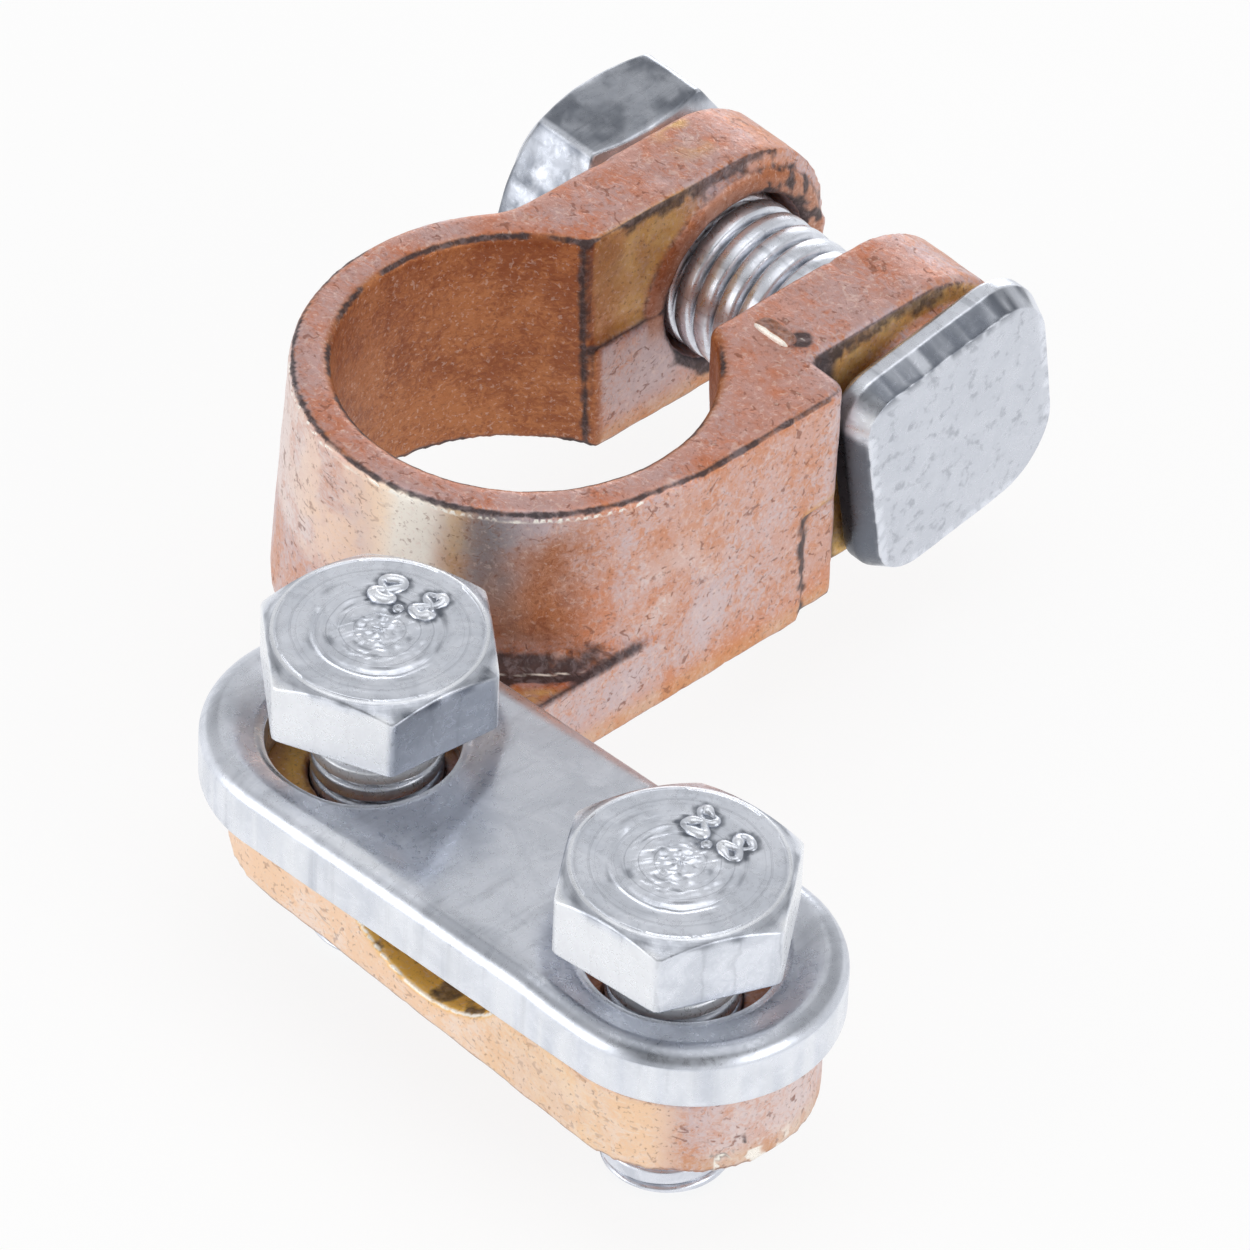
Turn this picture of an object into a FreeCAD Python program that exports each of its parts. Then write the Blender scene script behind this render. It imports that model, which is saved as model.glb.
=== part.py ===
import FreeCAD, Part
import math
import os

# Battery terminal clamp. Millimetres, Z up along the battery post, X along the clamp bolt.
# The origin lies on the post's axis in the plane of the casting's underside.

# Ring around the post
body_height = 12.7
post_small_r = 8.75
post_taper = 1 / 18
post_land = 2.4
bore_bevel = 0.3
ring_top_r = 10.7
wall_draft = 3.4
flat_side_offset = 0.3
flat_side_lead_y = 8.5
flat_side_angle = 16.5

# Ears and their gap
ear_gap = 7.6
ear_top_thickness = 4.6
ear_blend_r = 3.0
ear_end_y = 16.8
shoulder_y = 9.9
shoulder_round = 1.0
flank_recess = 0.35
flank_step_drop = 0.1
flank_boss_r = 5.6
notch_y = 7.4
notch_depth = 0.3
top_bevel = 0.25

# Clamp bolt, M8, and its nut
bolt_r = 4.0
bolt_y = 17.1
bolt_drop = 0.5
bolt_length = 25.0
bolt_hole_clearance = 0.4
bolt_seat_r = 5.4
bolt_head_width = 12.3
bolt_head_height = 2.25
bolt_head_round = 2.8
bolt_head_band = 0.75
bolt_head_front_bevel = 0.55
bolt_head_back_bevel = 0.35
bolt_head_angle = 9.0
bolt_tip_bevel = 0.8
nut_width = 11.8
nut_height = 4.9
nut_angle = 4.0

# Tongue and saddle under the cable
saddle_height = 4.2
saddle_r = 6.2
saddle_y = -17.05
screw_spacing = 19.2
saddle_centre_x = 18.76
saddle_end_extra = 0.6
groove_r = 6.2
groove_bottom_z = 1.5
tongue_left_x = -3.0
tongue_left_y = -9.0
crease_r = 0.8

# Cable clamp plate
plate_thickness = 3.0
plate_r = 6.9
plate_half_length = 10.15
plate_shift_x = -0.1
plate_shift_y = -0.15
plate_skew = 3.7
plate_edge_roll = 0.9
plate_hole_r = 4.4
dish_r = 5.9
dish_depth = 0.7

# Cable screws, M6
screw_r = 3.0
screw_length = 14.0
screw_head_width = 10.0
screw_head_height = 3.6
screw_tip_bevel = 0.6
left_screw_under_head_z = 8.9
right_screw_under_head_z = 8.6
left_screw_angle = -96.3
right_screw_angle = -112.4
thread_clearance = 0.05
head_chamfer = 30.0
cut_over = 1.0

# Values that follow from the sizes above
ear_top_x = ear_gap / 2 + ear_top_thickness
draft_slope = math.tan(math.radians(wall_draft))
flat_side_x = ring_top_r + flat_side_offset
bolt_z = body_height / 2 - bolt_drop
flank_step_z = body_height / 2 - flank_step_drop
bolt_seat_x = ear_top_x + body_height * draft_slope
left_screw_x = saddle_centre_x - screw_spacing / 2
right_screw_x = saddle_centre_x + screw_spacing / 2
ear_reach = 2 * body_height
dish_ball_lift = (dish_r**2 - plate_hole_r**2 - dish_depth**2) / (2 * dish_depth)

X_AXIS = FreeCAD.Vector(1, 0, 0)
Y_AXIS = FreeCAD.Vector(0, 1, 0)
Z_AXIS = FreeCAD.Vector(0, 0, 1)


def vec(x, y, z=0.0):
    return FreeCAD.Vector(x, y, z)


def polar(r, degrees, z=0.0):
    a = math.radians(degrees)
    return vec(r * math.cos(a), r * math.sin(a), z)


def line(a, b):
    return Part.LineSegment(a, b).toShape()


def arc(a, middle, b):
    return Part.Arc(a, middle, b).toShape()


def arc_about(centre, r, a, b):
    """Short arc of radius r about centre from a to b."""
    middle = ((a + b) / 2 - centre).normalize() * r + centre
    return arc(a, middle, b)


def prism(edges, direction):
    face = Part.Face(Part.Wire(edges))
    return face.extrude(direction)


def edges_of(solid, keep):
    """Edges of a solid for which keep(edge) is true."""
    return [e for e in solid.Edges if keep(e)]


def body_outline(drop):
    """Outline of ring and ears, drop mm under the top face; the drafted walls grow on the way down.

    On the right it leads out past the upright flat side, which is cut afterwards.
    """
    z = body_height - drop
    ring_r = ring_top_r + drop * draft_slope
    ear_x = ear_top_x + drop * draft_slope
    far = ring_r + ear_blend_r
    blend_x = -ear_x - ear_blend_r
    blend_y = math.sqrt(far**2 - blend_x**2)
    blend_centre = vec(blend_x, blend_y, z)
    left_end = vec(-ear_x, ear_reach, z)
    blend_start = vec(-ear_x, blend_y, z)
    blend_end = vec(blend_x * ring_r / far, blend_y * ring_r / far, z)
    ring_end = polar(ring_r, -flat_side_angle, z)
    lead_end = vec(flat_side_x + cut_over, ring_end.y + flat_side_lead_y, z)
    shoulder_start = vec(flat_side_x + cut_over, shoulder_y, z)
    shoulder_end = vec(ear_x, shoulder_y, z)
    right_end = vec(ear_x, ear_reach, z)
    return Part.Wire(
        [
            line(left_end, blend_start),
            arc_about(blend_centre, ear_blend_r, blend_start, blend_end),
            arc(blend_end, polar(ring_r, -112, z), ring_end),
            line(ring_end, lead_end),
            line(lead_end, shoulder_start),
            line(shoulder_start, shoulder_end),
            line(shoulder_end, right_end),
            line(right_end, left_end),
        ]
    )


def ear_profile():
    """Side view of the casting: full height, with the ears rounded off about the bolt's direction."""
    r = body_height / 2
    x, start = -ear_reach, -ear_reach
    edges = [
        line(vec(x, start, 0), vec(x, ear_end_y, 0)),
        arc(vec(x, ear_end_y, 0), vec(x, ear_end_y + r, r), vec(x, ear_end_y, body_height)),
        line(vec(x, ear_end_y, body_height), vec(x, start, body_height)),
        line(vec(x, start, body_height), vec(x, start, 0)),
    ]
    return prism(edges, X_AXIS * (2 * ear_reach))


def is_shoulder(edge):
    """Upright outer corner of the flat side at the shoulder."""
    box = edge.BoundBox
    return box.ZLength > body_height - 1e-3 and box.XMin > flat_side_x - 1e-3 and box.YMin > shoulder_y - 1e-3


def is_upper_rim(edge):
    """Edge of the top face, or of an ear's round end on its outer side."""
    box = edge.BoundBox
    on_top = box.ZMin > body_height - 1e-3 and box.YLength > 1e-3
    on_ear = box.YMin > ear_end_y - 1e-3 and box.ZLength > 1e-3
    return on_top or on_ear


def stadium(cx, cy, half_length, r, z, height):
    """Upright stadium whose straight sides run along X."""
    left, right = cx - half_length, cx + half_length
    edges = [
        line(vec(left, cy - r, z), vec(right, cy - r, z)),
        arc(vec(right, cy - r, z), vec(right + r, cy, z), vec(right, cy + r, z)),
        line(vec(right, cy + r, z), vec(left, cy + r, z)),
        arc(vec(left, cy + r, z), vec(left - r, cy, z), vec(left, cy - r, z)),
    ]
    return prism(edges, Z_AXIS * height)


def tongue():
    """Low web from the ring to the saddle, flush with the casting's flat side."""
    corners = [
        vec(flat_side_x, 0),
        vec(tongue_left_x, 0),
        vec(tongue_left_x, tongue_left_y),
        vec(left_screw_x - saddle_r, saddle_y),
        vec(flat_side_x, saddle_y),
    ]
    sides = [line(a, b) for a, b in zip(corners, corners[1:] + corners[:1])]
    return prism(sides, Z_AXIS * saddle_height)


def post_bore():
    """Space of the post: a bevelled lip, a short straight land, then the taper widening downwards."""
    land_z = body_height - post_land
    foot_r = post_small_r + land_z * post_taper
    points = [
        vec(0, 0, -cut_over),
        vec(foot_r + cut_over * post_taper, 0, -cut_over),
        vec(post_small_r, 0, land_z),
        vec(post_small_r, 0, body_height - bore_bevel),
        vec(post_small_r + bore_bevel + cut_over, 0, body_height + cut_over),
        vec(0, 0, body_height + cut_over),
    ]
    edges = [line(a, b) for a, b in zip(points, points[1:] + points[:1])]
    return Part.Face(Part.Wire(edges)).revolve(vec(0, 0, 0), Z_AXIS, 360)


def rod(r, start, direction, length):
    return Part.makeCylinder(r, length, start, direction)


def left_flank_recess():
    """Shallow pocket in the left ear's inner flank, above the step and around the bolt boss."""
    x = -ear_gap / 2 - flank_recess
    pocket = Part.makeBox(flank_recess, ear_reach, body_height, vec(x, 0, flank_step_z))
    boss = rod(flank_boss_r, vec(x - cut_over, bolt_y, bolt_z), X_AXIS, flank_recess + 2 * cut_over)
    return pocket.cut(boss)


def shoulder_notch():
    """Shallow relief at the lower rear corner of the flat side."""
    x = flat_side_x - notch_depth
    return Part.makeBox(notch_depth + cut_over, ear_reach, flank_step_z, vec(x, notch_y, 0))


def terminal_body():
    """The casting: ring, ears, tongue and cable saddle in one piece."""
    lower = body_outline(body_height)
    upper = body_outline(0)
    block = Part.makeLoft([lower, upper], True, True).common(ear_profile())
    beyond = Part.makeBox(ear_reach, 2 * ear_reach, body_height, vec(flat_side_x, -ear_reach, 0))
    block = block.cut(beyond)
    block = block.makeFillet(shoulder_round, edges_of(block, is_shoulder))
    block = block.makeChamfer(top_bevel, edges_of(block, is_upper_rim))
    saddle = stadium(
        saddle_centre_x, saddle_y, screw_spacing / 2 + saddle_end_extra, saddle_r, 0, saddle_height
    )
    seats = [
        rod(bolt_seat_r, vec(0, bolt_y, bolt_z), X_AXIS * side, bolt_seat_x) for side in (-1, 1)
    ]
    base = tongue().fuse(saddle)
    body = block.fuse(base).removeSplitter()
    crease = edges_of(body, is_crease)
    body = body.makeFillet(crease_r, crease)
    body = body.fuse(seats)
    gap = Part.makeBox(ear_gap, ear_reach, 2 * body_height, vec(-ear_gap / 2, 0, -cut_over))
    bolt_hole = rod(
        bolt_r + bolt_hole_clearance, vec(-ear_reach, bolt_y, bolt_z), X_AXIS, 2 * ear_reach
    )
    groove_z = groove_bottom_z + groove_r
    groove = rod(groove_r, vec(saddle_centre_x, 0, groove_z), -Y_AXIS, 2 * ear_reach)
    screw_holes = [
        rod(screw_r + thread_clearance, vec(x, saddle_y, -cut_over), Z_AXIS, body_height)
        for x in (left_screw_x, right_screw_x)
    ]
    cuts = [post_bore(), gap, left_flank_recess(), shoulder_notch(), bolt_hole, groove]
    return body.cut(cuts + screw_holes).removeSplitter()


def is_crease(edge):
    """Inner corner where the ring's wall rises from the tongue."""
    box = edge.BoundBox
    level = abs(box.ZMin - saddle_height) < 1e-3 and abs(box.ZMax - saddle_height) < 1e-3
    ring_r = ring_top_r + (body_height - saddle_height) * draft_slope
    middle = edge.valueAt((edge.FirstParameter + edge.LastParameter) / 2)
    return level and abs(math.hypot(middle.x, middle.y) - ring_r) < 0.05


def hex_prism(width, height, turn):
    corners = [polar(width / math.sqrt(3), turn + 60 * k) for k in range(6)]
    sides = [line(a, b) for a, b in zip(corners, corners[1:] + corners[:1])]
    return prism(sides, Z_AXIS * height)


def chamfer_cone(width, height, both_ends):
    """Turned blank whose ends are chamfered, for the common of hexagon heads and nuts."""
    top_r = 0.95 * width / 2
    slope = math.tan(math.radians(head_chamfer))
    out = 0.7 * width
    drop = (out - top_r) * slope
    low = [vec(out, 0, 0)]
    if both_ends:
        low = [vec(top_r, 0, 0), vec(out, 0, drop)]
    points = [vec(0, 0, 0)] + low + [vec(out, 0, height - drop), vec(top_r, 0, height), vec(0, 0, height)]
    edges = [line(a, b) for a, b in zip(points, points[1:] + points[:1])]
    return Part.Face(Part.Wire(edges)).revolve(vec(0, 0, 0), Z_AXIS, 360)


def shank(r, length, tip_bevel):
    """Threaded shank hanging down from the origin, bevelled at its tip."""
    body = rod(r, vec(0, 0, -length), Z_AXIS, length)
    tip = edges_of(body, lambda e: e.BoundBox.ZMax < -length + 1e-3)
    return body.makeChamfer(tip_bevel, tip)


def cable_screw(x, under_head_z, turn):
    """Hexagon screw standing in the saddle's threaded hole."""
    head = hex_prism(screw_head_width, screw_head_height, turn)
    head = head.common(chamfer_cone(screw_head_width, screw_head_height, False))
    screw = head.fuse(shank(screw_r, screw_length, screw_tip_bevel)).removeSplitter()
    screw.translate(vec(x, saddle_y, under_head_z))
    return screw


def rounded_square(inset, z):
    """Outline of the bolt's head at level z, inset mm inside its full width."""
    flat = bolt_head_width / 2 - bolt_head_round
    r = bolt_head_round - inset
    edges = []
    for quarter in range(4):
        corner = polar(flat * math.sqrt(2), 45 + 90 * quarter, z)
        next_corner = polar(flat * math.sqrt(2), 135 + 90 * quarter, z)
        start, middle, end = [corner + polar(r, 90 * quarter + turn) for turn in (0, 45, 90)]
        edges += [arc(start, middle, end), line(end, next_corner + polar(r, 90 * quarter + 90))]
    return Part.Wire(edges)


def clamp_bolt():
    """Bolt with a thin rounded square head, held from turning by the casting's shoulder."""
    band_end = bolt_head_back_bevel + bolt_head_band
    outlines = [
        rounded_square(bolt_head_back_bevel, 0),
        rounded_square(0, bolt_head_back_bevel),
        rounded_square(0, band_end),
        rounded_square(bolt_head_front_bevel, bolt_head_height),
    ]
    head = Part.makeLoft(outlines, True, True)
    bolt = head.fuse(shank(bolt_r, bolt_length, bolt_tip_bevel)).removeSplitter()
    lay_along_bolt(bolt, bolt_head_angle, bolt_seat_x)
    return bolt


def clamp_nut():
    """Hexagon nut bearing on the left ear."""
    nut = hex_prism(nut_width, nut_height, nut_angle)
    nut = nut.common(chamfer_cone(nut_width, nut_height, True))
    thread = rod(bolt_r + thread_clearance, vec(0, 0, -cut_over), Z_AXIS, nut_height + 2 * cut_over)
    nut = nut.cut(thread)
    lay_along_bolt(nut, 0, -bolt_seat_x - nut_height)
    return nut


def lay_along_bolt(piece, turn, x):
    """Turns a piece built along Z, then lays it along X with its base plane at x on the bolt's axis."""
    piece.rotate(vec(0, 0, 0), Z_AXIS, turn)
    piece.Placement = FreeCAD.Placement(
        vec(x, bolt_y, bolt_z), FreeCAD.Rotation(Y_AXIS, Z_AXIS, X_AXIS, "ZXY")
    ).multiply(piece.Placement)


def cable_clamp_plate():
    """Stamped plate with a rolled upper edge and a dished seat around each oversize screw hole."""
    plate = stadium(0, 0, plate_half_length, plate_r, 0, plate_thickness)
    rim = edges_of(plate, lambda e: e.BoundBox.ZMin > plate_thickness - 1e-3)
    plate = plate.makeFillet(plate_edge_roll, rim)
    cuts = []
    for side in (-1, 1):
        x = side * screw_spacing / 2
        ball_r = math.hypot(dish_r, dish_ball_lift)
        dish = Part.makeSphere(ball_r, vec(x, 0, plate_thickness + dish_ball_lift))
        hole = rod(plate_hole_r, vec(x, 0, -cut_over), Z_AXIS, plate_thickness + 2 * cut_over)
        cuts += [dish, hole]
    plate = plate.cut(cuts)
    plate.rotate(vec(0, 0, 0), Z_AXIS, plate_skew)
    plate.translate(vec(saddle_centre_x + plate_shift_x, saddle_y + plate_shift_y, saddle_height))
    return plate


def main():
    os.makedirs("parts", exist_ok=True)
    pieces = {
        "terminal_body": terminal_body(),
        "clamp_bolt": clamp_bolt(),
        "clamp_nut": clamp_nut(),
        "cable_clamp_plate": cable_clamp_plate(),
        "left_cable_screw": cable_screw(left_screw_x, left_screw_under_head_z, left_screw_angle),
        "right_cable_screw": cable_screw(right_screw_x, right_screw_under_head_z, right_screw_angle),
    }
    for name, shape in pieces.items():
        solid = shape.Solids[0]
        print(name, shape.isValid(), len(shape.Solids), round(shape.Volume, 1), shape.BoundBox)
        solid.exportStep(f"parts/{name}.step")


main()
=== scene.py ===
import math

import bmesh
import bpy
import numpy as np
from bpy.props import FloatProperty, FloatVectorProperty, IntProperty, PointerProperty
from mathutils import Matrix, Vector


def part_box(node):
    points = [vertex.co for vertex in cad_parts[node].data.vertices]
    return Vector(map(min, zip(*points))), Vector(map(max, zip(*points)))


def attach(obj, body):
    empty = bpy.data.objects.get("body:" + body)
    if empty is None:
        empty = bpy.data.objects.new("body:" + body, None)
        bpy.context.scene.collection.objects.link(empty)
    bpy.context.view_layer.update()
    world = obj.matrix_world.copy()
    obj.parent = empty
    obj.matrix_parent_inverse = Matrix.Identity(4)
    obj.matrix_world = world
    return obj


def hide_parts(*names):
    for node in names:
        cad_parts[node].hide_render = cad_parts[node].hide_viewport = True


bl_info = {
    "name": "Battery Terminal Clamp",
    "version": (1, 0, 0),
    "blender": (4, 5, 0),
    "location": "View3D > Sidebar > Terminal Clamp",
    "description": "Dresses the packed battery terminal clamp: casting, bolt, nut, plate, screws and stage",
    "category": "Object",
}

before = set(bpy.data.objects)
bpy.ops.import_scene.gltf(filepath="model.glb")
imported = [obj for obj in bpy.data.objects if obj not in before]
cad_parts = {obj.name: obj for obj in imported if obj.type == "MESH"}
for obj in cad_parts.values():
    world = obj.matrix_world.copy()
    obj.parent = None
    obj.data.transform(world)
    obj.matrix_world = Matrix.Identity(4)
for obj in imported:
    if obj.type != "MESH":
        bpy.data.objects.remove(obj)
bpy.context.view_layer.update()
MM = 0.001

# Places in the shared frame, in millimetres
BOLT_AXIS_Y, BOLT_AXIS_Z, BOLT_SEAT_X = 17.1, 5.85, 9.1545
SCREW_Y, LEFT_SCREW_X, RIGHT_SCREW_X = -17.05, 9.16, 28.36
SADDLE_X, SADDLE_TOP, BODY_TOP = 18.76, 4.2, 12.7
BAR_X, BAR_Y = 6.05, 9.85
GROOVE_Z = 7.7

# The ring of the casting: radius and draft of its outer wall, and the post's bore with its 1:9 taper
RING_RADIUS, RING_DRAFT = 10.7, 0.0594
BORE_RADIUS, TAPER_TOP, TAPER = 8.75, 10.3, 1 / 18

# Sizes of the pieces, in millimetres
SCREW_WIDTH, SCREW_HEAD, SCREW_LENGTH, SCREW_RADIUS, SCREW_PITCH, SCREW_TIP = 10.0, 3.6, 14.0, 3.0, 1.0, 0.6
SQUARE_WIDTH, BOLT_LENGTH, BOLT_RADIUS, BOLT_PITCH, BOLT_TIP = 12.3, 25.0, 4.0, 1.25, 0.8
NUT_WIDTH, NUT_HEIGHT, NUT_BORE = 11.8, 4.9, 4.05
PLATE_HOLE_X, PLATE_ARC_X, PLATE_REACH, PLATE_ROLL, PLATE_HEIGHT, PLATE_HOLE = 9.6, 10.15, 6.9, 1.1, 3.0, 4.4
DISC_SHARE = 0.95  # width of a hexagon's round top over its flats
CHAMFER = math.tan(math.radians(30))

# Turns in degrees
HEAD_TURN, NUT_TURN, PLATE_SKEW, NUMBER_TURN = 9.0, 4.0, 3.7, 114.6

# Numbers of rows and rays of points
THREAD_ROWS = 14
TOP_ROWS = 42
RIM_RAYS = 150


# Numbers and meshes


def smooth(low, high, value):
    """0 below low, 1 above high, and an S-shaped rise between them; high may lie under low."""
    t = np.clip((value - low) / (high - low), 0, 1)
    return t * t * (3 - 2 * t)


def bell(value, centre, width):
    """Bell curve of the given half width about centre."""
    return np.exp(-(((value - centre) / width) ** 2))


def lattice_noise(points, cell, seed):
    """Noise from -1 to 1: random numbers on a cubic lattice of the given cell, blended by an S-shaped weight."""
    scaled = points.reshape(-1, 3) / cell
    base = np.floor(scaled).astype(np.int64)
    part = scaled - base
    part = part * part * (3 - 2 * part)
    total = np.zeros(len(scaled))
    for corner in range(8):
        step = np.array([corner & 1, corner >> 1 & 1, corner >> 2 & 1])
        key = (base + step) * np.array([73856093, 19349663, 83492791])
        mixed = key[:, 0] ^ key[:, 1] ^ key[:, 2] ^ (seed * 7919 + 104729)
        mixed = ((mixed ^ (mixed >> 13)) * 1274126177) & 0x7FFFFFFF
        weight = np.where(step, part, 1 - part).prod(axis=1)
        total += weight * (mixed / 0x3FFFFFFF - 1)
    return total.reshape(points.shape[:-1])


def layered_noise(points, cell, seed, layers=3):
    """Sum of lattice noises, each with half the cell and half the height of the one before."""
    return sum(lattice_noise(points, cell / 2**k, seed + k) / 2**k for k in range(layers))


def arc_noise(r, angle):
    """Noise in short arcs: fine across the radius and coarse along each turn."""
    polar = np.broadcast_arrays(r / 0.17, 2.6 * np.cos(angle), 2.6 * np.sin(angle))
    return lattice_noise(np.stack(polar, -1), 1.0, 54)


def around(count):
    """Evenly spaced angles of one full turn."""
    return np.linspace(0, 2 * math.pi, count, endpoint=False)


def level(xy, z):
    """Points (x, y) with their height z, one number or one for each."""
    return np.column_stack([xy, np.broadcast_to(z, len(xy))])


def grid_faces(rows, cols, start, close_rows, close_cols):
    """Quads between neighbouring points of a grid stored row by row, closed round its rows or columns if asked."""
    i = np.arange(rows if close_rows else rows - 1)[:, None]
    j = np.arange(cols if close_cols else cols - 1)[None, :]
    below, beside = (i + 1) % rows, (j + 1) % cols
    corners = [i * cols + j, i * cols + beside, below * cols + beside, below * cols + j]
    return np.stack([np.broadcast_to(c, (len(i), j.shape[1])) for c in corners], -1).reshape(-1, 4) + start


def linked(name, data):
    """New object of the scene that holds the data."""
    thing = bpy.data.objects.new(name, data)
    bpy.context.collection.objects.link(thing)
    return thing


def paint(mesh, name, values):
    """Keeps one number a point as the piece's own attribute for its finish."""
    mesh.attributes.new(name, "FLOAT", "POINT").data.foreach_set("value", values)


def shade_smooth(mesh):
    """Smooth shading for every face."""
    mesh.polygons.foreach_set("use_smooth", np.ones(len(mesh.polygons), dtype=bool))
    mesh.update()


def surface_piece(name, grids, wear=None):
    """Mesh object from grids of points in mm, each (points, close_rows, close_cols); doubles are merged."""
    points, faces, start = [], [], 0
    for grid, close_rows, close_cols in grids:
        rows, cols = grid.shape[:2]
        points.append(grid.reshape(-1, 3))
        faces.append(grid_faces(rows, cols, start, close_rows, close_cols))
        start += rows * cols
    points, faces = np.concatenate(points), np.concatenate(faces)
    mesh = bpy.data.meshes.new(name)
    mesh.vertices.add(len(points))
    mesh.vertices.foreach_set("co", (points * MM).ravel())
    mesh.loops.add(faces.size)
    mesh.loops.foreach_set("vertex_index", faces.ravel())
    mesh.polygons.add(len(faces))
    mesh.polygons.foreach_set("loop_start", np.arange(0, faces.size, 4))
    mesh.update(calc_edges=True)
    if wear is not None:
        paint(mesh, "wear", wear.ravel())
    weld(mesh)
    return linked(name, mesh)


def weld(mesh, distance=2e-7):
    """Merges doubles, drops the empty faces that a pole leaves, turns the faces outwards and shades them smooth."""
    shape = bmesh.new()
    shape.from_mesh(mesh)
    bmesh.ops.remove_doubles(shape, verts=shape.verts, dist=distance)
    bmesh.ops.dissolve_degenerate(shape, dist=distance / 2, edges=shape.edges)
    bmesh.ops.recalc_face_normals(shape, faces=shape.faces)
    shape.to_mesh(mesh)
    shape.free()
    shade_smooth(mesh)


def mount(piece, node, finish):
    """Lets a piece stand for a CAD node, move with its body and wear a finish."""
    piece.data.materials.clear()
    piece.data.materials.append(finish)
    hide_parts(node)
    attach(piece, node)


# Profiles


def spread(theta, pairs):
    """Profile entries with a value for each theta, from entries that may hold plain numbers."""
    return [tuple(value + 0 * theta for value in pair) for pair in pairs]


def softened(points, radius):
    """Broken line in (r, z) with its inner corners replaced by short parabolas that start radius before them."""
    points = [np.array(point, dtype=float) for point in points]
    out = [points[0]]
    for before, corner, after in zip(points, points[1:], points[2:]):
        a, b = (
            corner + run * np.minimum(radius / np.maximum(np.hypot(*run), 1e-9), 0.5)
            for run in (before - corner, after - corner)
        )
        out += [(1 - t) ** 2 * a + 2 * t * (1 - t) * corner + t * t * b for t in np.linspace(0, 1, 5)]
    return out + [points[-1]]


def densified(profile, step):
    """Adds rows to a profile where its widest rise is longer than step."""
    out = [profile[0]]
    for a, b in zip(profile, profile[1:]):
        count = max(1, math.ceil(np.max(np.hypot(*(b - a))) / step))
        out += [a + (b - a) * k / count for k in range(1, count + 1)]
    return out


def sweep(profile, theta):
    """Grid of points about the Z axis: each profile entry (r, z) may be a number or one value for each theta."""
    rows = [np.stack(np.broadcast_arrays(r * np.cos(theta), r * np.sin(theta), z), -1) for r, z in profile]
    return np.stack(rows).astype(float)


def hexagon_radius(theta, flats, turn, power=70):
    """Reach of a hexagon with softened corners: half its width over a high-power mean of the six face cosines."""
    faces = np.radians(turn + 30 + 60 * np.arange(6))[:, None]
    cosines = np.maximum(np.cos(theta[None, :] - faces), 0)
    return flats / 2 / (cosines**power).sum(axis=0) ** (1 / power)


def thread_rows(theta, crest, pitch, start, end, bevel):
    """Rows of an external thread running down from start to the middle of its flat tip at end.

    The radius falls from the crest by a wave that climbs one pitch a turn, with a broad flat crest and a thin
    groove; it fades in under the head, and the tip is cut by a cone.
    """
    rows = []
    for z in np.linspace(start, end, int((start - end) / pitch * THREAD_ROWS) + 1):
        phase = (z / pitch - theta / (2 * math.pi)) % 1
        away = np.abs(2 * phase - 1)
        wave = 0.12 * smooth(0.0, 0.8, away) + 0.88 * smooth(0.62, 1.0, away)
        depth = 0.36 * pitch * smooth(start, start - 0.8 * pitch, z)
        cone = crest - bevel * smooth(end + bevel * 1.1, end - bevel * 0.1, z)
        rows.append((np.minimum(crest - depth * wave, cone), z))
    return rows + [((crest - bevel) * share, end) for share in (0.96, 0.7, 0.35, 0)]


def figure_eight(width, height):
    """Closed path of an upright 8: x swings twice while y swings once."""
    t = around(56)
    return np.stack([width / 2 * np.sin(2 * t), height / 2 * np.cos(t), 0 * t], -1)


def tube(path, radius):
    """Tube round a closed flat path: each point's circle stands across the path's own direction."""
    along = np.roll(path, -1, axis=0) - np.roll(path, 1, axis=0)
    along /= np.linalg.norm(along, axis=1, keepdims=True)
    across = np.stack([-along[:, 1], along[:, 0], np.zeros(len(path))], -1)
    turn = around(8)
    swing = across[:, None, :] * np.cos(turn)[None, :, None]
    rise = np.array([0, 0, 1]) * np.sin(turn)[None, :, None]
    return path[:, None, :] + np.reshape(radius, (-1, 1, 1)) * (swing + rise)


def turned(grid, degrees):
    """Points turned about the Z axis."""
    a = math.radians(degrees)
    x, y = grid[..., 0], grid[..., 1]
    return np.stack([x * math.cos(a) - y * math.sin(a), x * math.sin(a) + y * math.cos(a), grid[..., 2]], -1)


def laid_along_bolt(grid, turn, x):
    """Turns a grid built along Z, then lays it along the clamp bolt's axis with its base plane at x."""
    grid = turned(grid, turn)
    return np.stack([x + grid[..., 2], BOLT_AXIS_Y + grid[..., 0], BOLT_AXIS_Z + grid[..., 1]], -1)


# Finishes


def linear(red, green, blue):
    """Colour from 0-255 display values to the linear values that sockets hold."""
    share = np.array([red, green, blue]) / 255
    return tuple(np.where(share <= 0.04045, share / 12.92, ((share + 0.055) / 1.055) ** 2.4))


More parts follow.
